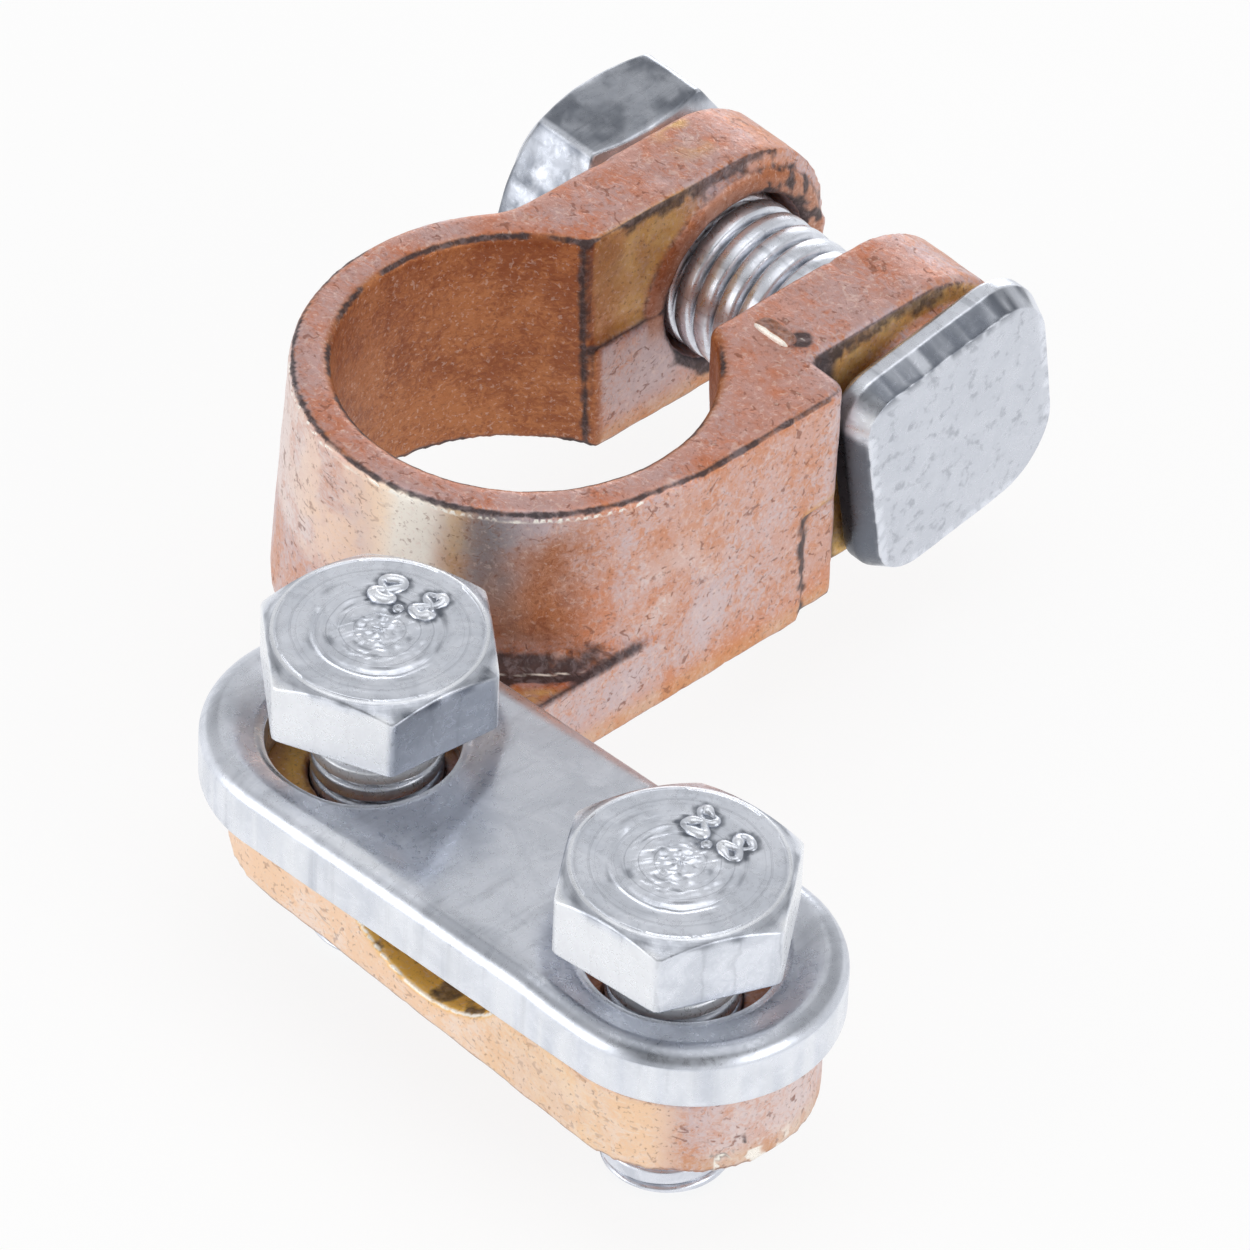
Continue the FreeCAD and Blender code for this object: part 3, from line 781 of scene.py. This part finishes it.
def screw_piece(name, x, under_head, turn, painted_facet_light, finish):
    """One cable screw with its raised marks: bright at worn corners and rims, with painted light on its side faces and
    under the head; dark in scores, with painted shade on one side face, the chamfer, the thread's grooves and round the
    marks.
    """
    theta = around(156)
    rows, head_rows = screw_profile(theta, turn)
    grid = sweep(rows, theta)
    hexagon = hexagon_radius(theta, SCREW_WIDTH, turn)
    reach, z = np.hypot(grid[..., 0], grid[..., 1]), grid[..., 2]
    corner = smooth(0.72, 0.80, hexagon - SCREW_WIDTH / 2) * (np.abs(reach - hexagon) < 0.15)
    brink = 0.5 * (np.abs(reach - DISC_SHARE * SCREW_WIDTH / 2) < 0.07)
    right = smooth(0.84, 0.88, np.cos(theta - math.radians(turn + 90)))
    # Painted light on the hexagon's side faces; one face on the right takes its own value, painted shade on the left
    # screw.
    facet = smooth(4.8, 4.95, reach) * smooth(3.4, 3.2, z) * (0.9 + right * (painted_facet_light - 0.9))
    place = np.stack(np.broadcast_arrays(2.5 * np.cos(theta), 2.5 * np.sin(theta), z), -1)
    # Painted shade on the chamfer, broken by noise, and a thin dark ring on the top just inside its edge.
    rolled = smooth(4.80, 4.9, reach) * smooth(3.15, 3.3, z) * (0.45 + 0.35 * lattice_noise(place, 0.3, 55))
    rolled += 0.4 * bell(reach, 4.5, 0.07) * smooth(-0.4, 0.3, lattice_noise(place, 0.8, 56)) * (z > 3.4)
    scored = 0.55 * smooth(0.1, 0.7, -arc_noise(reach, theta)) * smooth(4.2, 3.0, reach) * (z > 3.3)
    wear = 0.7 * corner + brink + facet * (1 - corner) - rolled - scored
    # Painted shade in the thread's grooves, and painted light on the shank just under the head.
    groove = smooth(2.84, 2.68, reach) * (z > 0.1 - SCREW_LENGTH) * smooth(-2.0, -4.0, z)
    wear[head_rows:] = (0.9 * smooth(-4.0, -2.5, z) - 0.8 * groove)[head_rows:]

    marks = strength_marks(turn)
    shadowed = np.concatenate([mark.reshape(-1, 3)[::3, :2] for mark in marks])
    apart = grid[:TOP_ROWS, :, None, :2] - shadowed
    # Painted shade round the raised marks.
    wear[:TOP_ROWS] -= 0.75 * smooth(0.34, 0.05, np.min(np.hypot(apart[..., 0], apart[..., 1]), axis=-1))
    # Painted highlight on the marks' tops and painted shade on their sides.
    wears = [wear.ravel()] + [0.9 * smooth(3.66, 3.78, mark[..., 2].ravel()) - 0.4 for mark in marks]
    offset = np.array([x, SCREW_Y, under_head])
    grids = [(grid + offset, False, True)] + [(mark + offset, True, True) for mark in marks]
    piece = surface_piece(name + "_turned", grids, np.concatenate(wears))
    mount(piece, name, finish)


class CLAMP_OT_cable_screws(bpy.types.Operator):
    """Builds the two hexagon screws of the cable clamp with threads, turning marks and plain raised numbers"""

    bl_idname = "clamp.cable_screws"
    bl_label = "Cable screws"

    def execute(self, context):
        look = context.scene.clamp_steel
        for name, x, under_head, turn, painted_facet_light in (
            ("left_cable_screw", LEFT_SCREW_X, 8.9, -96.3, -0.55),
            ("right_cable_screw", RIGHT_SCREW_X, 8.6, -112.4, 0.1),
        ):
            centre = (x * MM, SCREW_Y * MM, 0)
            finish = zinc_finish(name + "_zinc", look, (1, 1, 0.0), centre, 1.2, 0.7, 0.5)
            screw_piece(name, x, under_head, turn, painted_facet_light, finish)
        return {"FINISHED"}


def rounded_square(width, corners, inset):
    """Outline of a square moved in by inset: four quarter circles of their own radii joined by straight runs."""
    points = []
    sides = np.array([[1, 1], [-1, 1], [-1, -1], [1, -1]])
    run = np.linspace(0, 1, 32)[1:-1, None]
    for quarter in range(4):
        following = (quarter + 1) % 4
        turn = math.radians(90 * quarter) + np.linspace(0, math.pi / 2, 14)
        ways = np.stack([np.cos(turn), np.sin(turn)], -1)
        arc = sides[quarter] * (width / 2 - corners[quarter]) + (corners[quarter] - inset) * ways
        end = sides[following] * (width / 2 - corners[following]) + (corners[following] - inset) * ways[-1]
        points += [arc, arc[-1] + (end - arc[-1]) * run]
    return np.concatenate(points)


def bolt_head_rows():
    """Rows of the square head from the middle of its face to its back: (scale, inset, height)."""
    rows = [(s, 0.66, 2.25 - 0.05 * s**4) for s in np.linspace(0, 0.985, 18)]
    profile = [(0.66, 2.2), (0.56, 2.2), (0.0, 1.05), (0.0, 0.35), (0.35, 0.0), (0.5, 0.0)]
    return rows + [(1.0, inset, z) for inset, z in densified(softened(profile, 0.10), 0.2)]


def head_light_and_shade(grid):
    """Painted light and shade of the head before it is laid: painted shade on the upper bevel, broken by scores, and on
    the left side, the back and the face; a painted highlight on one corner; and a brink painted dark above and pale
    below.
    """
    a, b, z = np.moveaxis(grid, -1, 0)
    below_face = smooth(2.2, 2.1, z)
    on_bevel = smooth(1.0, 1.15, z) * below_face
    upper = smooth(4.4, 5.0, b)
    scores = lattice_noise(grid / [0.30, 1.8, 1] * [1, 1, 0], 1.0, 73)
    specks = lattice_noise(grid * [1, 1, 0], 0.3, 74)
    left = smooth(-5.0, -5.5, a) * below_face * smooth(5.0, 3.6, b)
    corner = bell(a, -5.1, 0.7) * bell(b, 4.6, 0.8) * smooth(0.6, 0.9, z) * below_face
    brink = bell(z, 2.17, 0.06) * smooth(5.0, 5.6, np.maximum(np.abs(a), np.abs(b))) * smooth(-0.3, 0.3, specks)
    back = smooth(0.5, 0.3, z) * smooth(5.5, 6.0, b)
    # Painted highlight on the corner; painted shade on the scored upper bevel, the left side, the back and the face.
    tones = 1.6 * corner + (0.6 - 1.1 * upper) * brink - (0.72 + 0.35 * scores) * on_bevel * upper * (1 - corner)
    tones -= (1.45 - 0.5 * smooth(0.9, 1.8, z)) * left + 0.25 * back + 0.30 * smooth(2.1, 2.2, z)
    return np.clip(tones, -2, 1)


class CLAMP_OT_clamp_bolt(bpy.types.Operator):
    """Builds the clamp bolt: thin rounded square head with a broad bevel, and a rolled M8 thread"""

    bl_idname = "clamp.clamp_bolt"
    bl_label = "Clamp bolt"

    def execute(self, context):
        look = context.scene.clamp_steel
        corners = (3.2, 2.3, 2.8, 4.2)
        rows = []
        for scale, inset, z in bolt_head_rows():
            rows.append(level(rounded_square(SQUARE_WIDTH, corners, inset) * scale, z))
        square = rounded_square(SQUARE_WIDTH, corners, 0.5)
        theta = np.arctan2(square[:, 1], square[:, 0])
        circle = 4.35 * np.column_stack([np.cos(theta), np.sin(theta)])
        rows += [level(square + (circle - square) * t, 0) for t in (0.25, 0.5, 0.75, 1.0)]
        thread = thread_rows(theta, BOLT_RADIUS, BOLT_PITCH, -0.3, -BOLT_LENGTH, BOLT_TIP)
        grid = np.concatenate([np.stack(rows), sweep(thread, theta)])
        reach, z = np.hypot(grid[..., 0], grid[..., 1]), grid[..., 2]
        # Painted shade in the thread's grooves.
        groove = smooth(3.78, 3.60, reach) * (z < -0.5) * (z > 0.1 - BOLT_LENGTH)
        tones = head_light_and_shade(grid) - 0.9 * groove
        swell = 0.03 * layered_noise(grid, 2.6, 71, 2) + 0.010 * layered_noise(grid, 0.7, 72, 2)
        grid[..., 2] += swell * (z > 0.2)
        grid = laid_along_bolt(grid, HEAD_TURN, BOLT_SEAT_X)
        piece = surface_piece("clamp_bolt_turned", [(grid, False, True)], tones)
        mount(piece, "clamp_bolt", zinc_finish("bolt_zinc", look, (0.25, 1, 1), None, 0.7, 0.2))
        return {"FINISHED"}


class CLAMP_OT_clamp_nut(bpy.types.Operator):
    """Builds the hexagon nut: both ends chamfered, with a countersunk bore"""

    bl_idname = "clamp.clamp_nut"
    bl_label = "Clamp nut"

    def execute(self, context):
        look = context.scene.clamp_steel
        theta = around(180)
        hexagon = hexagon_radius(theta, NUT_WIDTH, NUT_TURN)
        sink = 0.45
        disc, mouth = DISC_SHARE * NUT_WIDTH / 2, NUT_BORE + sink
        drop = (hexagon - disc) * CHAMFER
        outline = [
            (NUT_BORE, 0.5 * NUT_HEIGHT),
            (NUT_BORE, sink),
            (mouth, 0),
            (disc, 0),
            (hexagon, drop),
            (hexagon, NUT_HEIGHT - drop),
            (disc, NUT_HEIGHT),
            (mouth, NUT_HEIGHT),
            (NUT_BORE, NUT_HEIGHT - sink),
            (NUT_BORE, 0.5 * NUT_HEIGHT),
        ]
        grid = sweep(densified(softened(spread(theta, outline), 0.16), 0.3)[:-1], theta)
        reach, z = np.hypot(grid[..., 0], grid[..., 1]), grid[..., 2]
        corner = smooth(0.80, 0.90, hexagon - NUT_WIDTH / 2) * (np.abs(reach - hexagon) < 0.12)
        outer = smooth(5.0, 5.6, reach)
        # Painted shade on the upper faces and on one flat, and random stained clouds on the outer faces.
        upper = smooth(5.0, 5.6, grid[..., 1]) * smooth(0.2, 0.5, z) * smooth(NUT_HEIGHT - 0.2, NUT_HEIGHT - 0.5, z)
        shaded_flat = smooth(0.86, 0.93, np.cos(theta - math.radians(154))) * outer
        grid[..., :2] *= (1 + 0.035 * layered_noise(grid, 1.3, 81, 3) * outer / reach)[..., None]
        clouds = 0.12 + 0.35 * smooth(-0.3, 0.9, layered_noise(grid, 1.1, 83, 3))
        stains_and_shade = 0.42 * upper + clouds * outer + shaded_flat * (0.32 + 0.25 * layered_noise(grid, 0.6, 84, 3))
        grid = laid_along_bolt(grid, 0.0, -BOLT_SEAT_X - NUT_HEIGHT)
        piece = surface_piece("clamp_nut_turned", [(grid, True, True)], 0.9 * corner - stains_and_shade * (1 - corner))
        mount(piece, "clamp_nut", zinc_finish("nut_zinc", look, (1, 0.05, 1), None, 0.8, 0.9))
        return {"FINISHED"}


# Plate


def plate_ray_ends(angle, reach):
    """Distance from the hole's axis to the half plate's edge along each angle.

    The half plate ends at the middle line x = 0, at straight sides and in an arc about PLATE_ARC_X.
    """
    c, s = np.cos(angle), np.sin(angle)
    to_middle = np.where(c < -1e-9, -PLATE_HOLE_X / np.minimum(c, -1e-9), np.inf)
    to_side = reach / np.maximum(np.abs(s), 1e-9)
    lead = (PLATE_ARC_X - PLATE_HOLE_X) * c
    to_arc = lead + np.sqrt(lead**2 - (PLATE_ARC_X - PLATE_HOLE_X) ** 2 + reach**2)
    return np.minimum(to_middle, np.where(PLATE_HOLE_X + to_side * c <= PLATE_ARC_X, to_side, to_arc))


def plate_top(dx, dy, side, inward):
    """Drop of the upper face at an offset from a hole: an S-shaped slope down to the seat and a small lip at the hole.

    Round the right hole (side 1) the slope follows the distance; on the left (side -1) it falls from the raised
    middle of the plate along a slanting line, -0.92 dx + 0.40 dy, and stays low towards the plate's end. It fades
    out towards the rolled edge, inward being the distance to that edge.
    """
    distance = np.hypot(dx, dy)
    lip = 0.20 * smooth(4.9, 4.38, distance)
    if side > 0:
        return 0.45 * smooth(6.8, 4.8, distance) + lip
    return 0.50 * smooth(6.6, 4.3, -0.92 * dx + 0.40 * dy) * smooth(1.0, 3.0, inward) + lip


def half_plate_grids(half):
    """Three grids of the right half of the plate: upper face from hole to roll, rolled rim and side, underside.

    Rays leave the hole's axis. The first RIM_RAYS of them end at the rim, and the outer two of these meet the
    corners of the middle line.
    """
    inner, seat = PLATE_REACH - PLATE_ROLL, PLATE_HEIGHT - 0.65
    corner = math.atan2(inner, -PLATE_HOLE_X)
    rest = np.linspace(corner, 2 * math.pi - corner, 46)[1:-1]
    angle = np.concatenate([np.linspace(-corner, corner, RIM_RAYS), rest])
    ways = np.stack([np.cos(angle), np.sin(angle)], -1)
    end = [PLATE_HOLE_X, 0] + plate_ray_ends(angle, inner)[:, None] * ways
    end[[0, RIM_RAYS - 1]] = [[0, -inner], [0, inner]]
    start = [PLATE_HOLE_X, 0] + PLATE_HOLE * ways
    flat = start + (end - start) * np.linspace(0, 1, 64)[:, None, None] ** 1.15
    x, y = flat[..., 0], flat[..., 1]
    inward = PLATE_REACH - np.hypot(np.maximum(x - PLATE_ARC_X, 0), y)
    top_z = PLATE_HEIGHT - plate_top(x - PLATE_HOLE_X, y, half, inward)
    hole_rows = np.stack([level(start, seat - drop) for drop in (1.2, 0.8, 0.4, 0.15)])
    upper = np.concatenate([hole_rows, np.dstack([flat, top_z])])

    edge, edge_z = end[:RIM_RAYS], top_z[-1][:RIM_RAYS]
    outward = np.where(edge[:, :1] > PLATE_ARC_X, (edge - [PLATE_ARC_X, 0]) / inner, np.sign(edge) * [0, 1])
    rim = []
    for t in np.linspace(0, math.pi / 2, 12):
        rim.append(level(edge + outward * PLATE_ROLL * math.sin(t), edge_z - 0.85 * (1 - math.cos(t))))
    side, low = edge + outward * PLATE_ROLL, rim[-1][:, 2]
    rim += [level(side, low + (0.2 - low) * share) for share in (0.33, 0.66, 0.9, 1.0)]
    for t in math.pi / 2 * np.array([0.33, 0.66, 1.0]):
        rim.append(level(side - outward * 0.2 * (1 - math.cos(t)), 0.2 * (1 - math.sin(t))))

    end[:RIM_RAYS] = side - outward * 0.2
    under = start + (end - start) * np.linspace(1, 0, 16)[:, None, None]
    wall = np.stack([level(start, z) for z in (0.4, 0.8, seat - 1.2)])
    return upper, np.stack(rim), np.concatenate([np.dstack([under, 0 * under[..., :1]]), wall])


def plate_painted_reflections(place):
    """Painted reflections, bright and dark, on the upper face: bell curves and steps over the plate's own length x and
    width y.
    """
    x, y = place[..., 0], place[..., 1]
    return sum(
        (
            0.9 * bell(x, -4.3, 2.8) * bell(y, -5.9, 0.55),
            0.45 * bell(x, -5.2, 0.45) * bell(y, 1.5, 1.2),
            -0.35 * smooth(-1.0, 1.0, x) * bell(y, -6.1, 0.7),
            -0.28 * smooth(11.5, 13.5, x),
            -0.33 * bell(x + 0.5 * (y + 2), -1.4, 1.9) * bell(y, -2.0, 2.0),
            -0.32 * bell(x, -8.6, 2.0) * bell(y, -5.2, 0.6),
            -0.3 * bell(x, -14.6, 1.1) * bell(y, -3.5, 2.2),
        )
    )


class CLAMP_OT_cable_plate(bpy.types.Operator):
    """Builds the stamped plate: rolled upper edge, sheared side and a dished seat round each hole"""

    bl_idname = "clamp.cable_plate"
    bl_label = "Cable clamp plate"

    def execute(self, context):
        look = context.scene.clamp_steel
        grids, wear = [], []
        offset = [SADDLE_X - 0.1, SCREW_Y - 0.15, SADDLE_TOP]
        for side in (1, -1):
            for part, (grid, closed) in enumerate(zip(half_plate_grids(side), (True, False, True))):
                place = grid * [side, 1, 1]
                lift = 0.014 * layered_noise(place, 3.0, 91, 2) + 0.004 * layered_noise(place, 0.7, 92, 2)
                place[..., 2] += lift * smooth(1.6, 2.2, place[..., 2])
                tone = plate_painted_reflections(place) if part < 2 else np.zeros(place.shape[:2])
                # Painted dark reflection along the rolled edge, painted light on the sheared side broken by streaks,
                # and painted light round each hole.
                if part == 1:
                    tone[2:6] -= 0.2
                    tone[10:18] = 0.35 + 0.5 * lattice_noise(place[10:18] * [1, 1, 0.08], 0.34, 93)
                else:
                    hole_d = np.hypot(np.abs(place[..., 0]) - PLATE_HOLE_X, place[..., 1])
                    tone += 0.7 * smooth(4.75, 4.5, hole_d)
                wear.append(tone.ravel())
                grids.append((turned(place, PLATE_SKEW) + offset, False, closed))
        piece = surface_piece("cable_plate_stamped", grids, np.concatenate(wear))
        finish = zinc_finish("plate_zinc", look, (1, 0.12, 0.04), None, 0.35, 0.55)
        mount(piece, "cable_clamp_plate", finish)
        return {"FINISHED"}


# Stage


class CLAMP_OT_stage(bpy.types.Operator):
    """Lays the pale floor and sets the white surroundings, the soft lamps and the camera"""

    bl_idname = "clamp.stage"
    bl_label = "Stage"

    def execute(self, context):
        look = context.scene.clamp_stage
        lay_floor(look)
        light_surroundings(look)
        for name, place, size, power in (
            ("overhead_box", (0.02, 0.02, 0.60), 0.50, look.overhead),
            ("left_box", (-0.22, -0.50, 0.18), 0.40, look.left),
            ("right_box", (0.50, 0.05, 0.25), 0.35, look.right),
            ("back_box", (-0.42, 0.50, 0.10), 0.30, look.back),
        ):
            soft_box(name, place, size, power)
        set_camera(look)
        return {"FINISHED"}


def lay_floor(look):
    """Floor: a wide flat disc just under the lowest screw tip."""
    low = min(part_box("left_cable_screw")[0][2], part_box("right_cable_screw")[0][2]) / MM - 0.02
    rows = [(r, low) for r in (0, 60, 200, 600, 1500, 3000)]
    floor = surface_piece("floor", [(sweep(rows, around(96)), False, True)])
    f = Finish("pale_floor", look.floor)
    grain = f.noise(60, 2)
    f.coat(f.rise(grain, 0.3, 0.7, 0.0, 0.01), (0.9, 0.9, 0.9))
    floor.data.materials.append(f.finish(0.9, f.relief(grain, 0.0001, 0.05), 0.0))
    f.shader.inputs["Specular IOR Level"].default_value = 0.1
    whiten(f, look.floor_white)


def whiten(f, share):
    """Mixes plain white into a finish for camera, glossy and transmitted rays, not for the light between surfaces.

    The floor reads white where it is seen and keeps a soft shadow.
    """
    rays = f.node("LightPath", {})
    seen = f.most(rays["Is Camera Ray"], rays["Is Glossy Ray"], rays["Is Transmission Ray"])
    white = f.node("Emission", {})[0]
    both = f.node("MixShader", {0: f.times(seen, share), 1: f.shader.outputs[0], 2: white})[0]
    f.put(both, f.tree.nodes["Material Output"].inputs["Surface"])


def light_surroundings(look):
    """White to the camera; for light and gloss white round the horizon, grey overhead and darker over the camera."""
    world = bpy.data.worlds.new("studio")
    bpy.context.scene.world = world
    world.use_nodes = True
    sky = Nodes(world.node_tree)
    direction = sky.node("TexCoord", {})["Generated"]
    height = sky.node("SeparateXYZ", {0: direction})[2]
    over_camera = sky.node("VectorMath", {0: direction, 1: (0.40, -0.40, 0.82)}, operation="DOT_PRODUCT")["Value"]
    ceiling = sky.rise(height, 0.12, 0.52, 1.0, look.ceiling)
    dark = sky.rise(over_camera, 0.72, 0.96, 1.0, look.overhead_dark)
    camera_ray = sky.node("LightPath", {})["Is Camera Ray"]
    background = world.node_tree.nodes["Background"]
    sky.put((1, 1, 1), background.inputs["Color"])
    sky.put(sky.node("Mix", {0: camera_ray, 2: sky.times(ceiling, dark), 3: 1.0})[0], background.inputs["Strength"])


def soft_box(name, place, size, power):
    """Square area lamp at place, aimed at the middle of the clamp."""
    lamp = bpy.data.lights.new(name, "AREA")
    lamp.size, lamp.energy = size, power
    box = linked(name, lamp)
    box.location = place
    aim = Vector((0.012, -0.002, 0.006)) - Vector(place)
    box.rotation_euler = aim.to_track_quat("-Z", "Y").to_euler()


def set_camera(look):
    """Long lens at the photograph's angle: 45.3 degrees round, 41.8 degrees up, turned 2.6 degrees about its view."""
    round_about, up = 0.790396, 0.730127
    forward = Vector((-math.sin(round_about) * math.cos(up), math.cos(round_about) * math.cos(up), -math.sin(up)))
    side = Vector((math.cos(round_about), math.sin(round_about), 0))
    right = side * math.cos(look.roll) + side.cross(forward) * math.sin(look.roll)
    turn = Matrix((right, right.cross(forward), -forward)).transposed()
    lens = bpy.data.cameras.new("view")
    lens.sensor_width, lens.lens, lens.clip_start = 36, look.lens, 0.01
    camera = linked("view", lens)
    place = Vector((10.01, -2.828, 5.0)) * MM - forward * look.distance
    camera.matrix_world = Matrix.Translation(place) @ turn.to_4x4()
    bpy.context.scene.camera = camera


# Settings, panel and running


def tone(name, text, *display):
    """Colour property whose default is given in 0-255 display values."""
    return FloatVectorProperty(
        name=name, description=text, subtype="COLOR", size=3, min=0, max=1, default=linear(*display)
    )


def share(name, text, default):
    return FloatProperty(name=name, description=text, default=default, min=0, max=1)


def power(place, default):
    text = f"Power of the {place} soft box"
    return FloatProperty(name=f"{place.capitalize()} lamp", description=text, default=default, min=0, unit="POWER")


class CLAMP_PG_casting(bpy.types.PropertyGroup):
    """Sizes and colours of the casting"""

    voxel: FloatProperty(
        name="Skin cell", description="Cell of the casting's skin", default=0.00022, unit="LENGTH", precision=5
    )
    softening: IntProperty(name="Edge softening", description="Rounds that soften the edges", default=5, min=0)
    copper: tone("Copper", "Pink copper plating", 210, 160, 143)
    orange: tone("Orange copper", "Warmer plating between the pink patches", 206, 134, 92)
    lilac: tone("Lilac", "Silvery lilac haze", 202, 184, 190)
    peach: tone("Peach", "Light front of the saddle", 255, 234, 218)
    peach_gold: tone("Peach gold", "Warmer clouds on the saddle's front", 254, 210, 166)
    gold: tone("Gold", "Golden inner faces", 212, 156, 78)
    gold_light: tone("Pale gold", "Lighter clouds in the gold", 236, 194, 118)
    # Colour of the painted reflection inside the cable's groove and of the golden spots by the left hole.
    amber: tone("Amber", "Bright golden inside of the cable's groove", 255, 202, 98)
    # Colour of the painted dark reflection band down the ring's front.
    painted_dark_band: tone("Steel blue", "Bluish heat tint on the ring's front", 128, 132, 136)
    # Also the colour of painted shade under the plate, on downward faces and in the dark bands round the ring's front.
    bore: tone("Bore", "Brown of the post's bore", 156, 90, 54)
    bore_light: tone("Bore light", "Lighter brown of the bore", 190, 123, 77)
    fleck: tone("Fleck", "Brown flecks", 132, 78, 56)
    # Colour that multiplies the upper faces: painted shade.
    painted_top_shade: tone("Top tint", "Deeper copper of the upper faces", 245, 219, 204)
    # Also painted light on the walls, besides rubbed plating.
    silver: tone("Silver haze", "Nearly white rubbed plating", 234, 218, 214)
    top_haze: tone("Top haze", "Lilac haze of the upper faces", 190, 158, 154)
    # Colour of the painted highlight down the ring's front; it stands in for a reflection.
    glow: tone("Glow", "Nearly white heat-polished stripe on the ring's front", 255, 248, 236)
    deep_orange: tone("Deep orange", "Orange heat tint low on the walls", 214, 122, 62)
    pale: tone("Pale fleck", "Light rubbed flecks", 238, 214, 202)
    # Colour of the oxidised charcoal and of the painted shade and painted dark reflections.
    oxide_and_shade: tone("Oxide", "Charcoal oxide in corners and along edges", 58, 52, 56)
    oxide_light: tone("Grey oxide", "Lighter specks in the oxide", 116, 104, 106)
    # Also the colour of the painted highlights at the top edge and the crease and of the cast bar's glint.
    bright: tone("Bright edge", "Bare metal on rubbed edges", 254, 248, 238)
    rough_low: share("Least roughness", "Roughness of the smoothest plating", 0.34)
    rough_high: share("Most roughness", "Roughness of the dullest plating", 0.52)


class CLAMP_PG_steel(bpy.types.PropertyGroup):
    """Colours of the zinc-plated pieces"""

    zinc: tone("Zinc", "Bright zinc plating", 229, 233, 242)
    zinc_dark: tone("Zinc cloud", "Duller clouds in the plating", 202, 207, 217)
    # Also the colour of painted shade, reached at -1.
    zinc_shadow: tone("Zinc line", "Dark scratches and grime", 110, 115, 125)
    # Darkest zinc, reached at -2, as on the bolt head's painted dark left side.
    zinc_darkest: tone("Zinc soot", "Blackened side of the bolt's head", 44, 44, 48)
    # Also the colour of painted light on the screws' side faces and shanks and on the plate's side and holes.
    zinc_bright: tone("Zinc edge", "Rubbed edges", 246, 248, 251)
    zinc_rough: share("Roughness", "Mean roughness of the plating", 0.30)


class CLAMP_PG_stage(bpy.types.PropertyGroup):
    """Floor, light and camera"""

    floor: tone("Floor", "Colour of the floor", 250, 250, 250)
    floor_white: share("Floor white", "Share of plain white where the floor is seen", 0.86)
    ceiling: share("Ceiling", "Brightness of the surroundings overhead", 0.60)
    overhead_dark: share("Over the camera", "What is left of that over the camera", 0.35)
    overhead: power("overhead", 0.8)
    left: power("left", 0.78)
    right: power("right", 0.7)
    back: power("back", 0.6)
    lens: FloatProperty(name="Lens", description="Focal length in mm for a 36 mm sensor", default=271.43, min=1)
    distance: FloatProperty(name="Distance", description="From the camera to the clamp", default=0.42439, unit="LENGTH")
    roll: FloatProperty(name="Roll", description="Turn of the camera about its view", default=0.045, subtype="ANGLE")


PIECES = (
    CLAMP_OT_casting,
    CLAMP_OT_clamp_bolt,
    CLAMP_OT_clamp_nut,
    CLAMP_OT_cable_plate,
    CLAMP_OT_cable_screws,
    CLAMP_OT_stage,
)


class CLAMP_PT_pieces(bpy.types.Panel):
    """Lists the clamp's pieces and its stage"""

    bl_idname = "CLAMP_PT_pieces"
    bl_label = "Terminal Clamp"
    bl_space_type = "VIEW_3D"
    bl_region_type = "UI"
    bl_category = "Terminal Clamp"

    def draw(self, context):
        for piece in PIECES:
            self.layout.operator(piece.bl_idname)
        for group in (context.scene.clamp_casting, context.scene.clamp_steel, context.scene.clamp_stage):
            for name in group.bl_rna.properties.keys():
                if name not in ("rna_type", "name"):
                    self.layout.prop(group, name)


SETTINGS = {"clamp_casting": CLAMP_PG_casting, "clamp_steel": CLAMP_PG_steel, "clamp_stage": CLAMP_PG_stage}


CLASSES = (*SETTINGS.values(), *PIECES, CLAMP_PT_pieces)


def register():
    for kind in CLASSES:
        bpy.utils.register_class(kind)
    for name, group in SETTINGS.items():
        setattr(bpy.types.Scene, name, PointerProperty(type=group))


def unregister():
    for name in SETTINGS:
        delattr(bpy.types.Scene, name)
    for kind in reversed(CLASSES):
        bpy.utils.unregister_class(kind)


def main():
    register()
    bpy.context.scene.view_settings.view_transform = "Standard"
    bpy.ops.clamp.casting()
    bpy.ops.clamp.clamp_bolt()
    bpy.ops.clamp.clamp_nut()
    bpy.ops.clamp.cable_plate()
    bpy.ops.clamp.cable_screws()
    bpy.ops.clamp.stage()


if __name__ == "__main__":
    main()
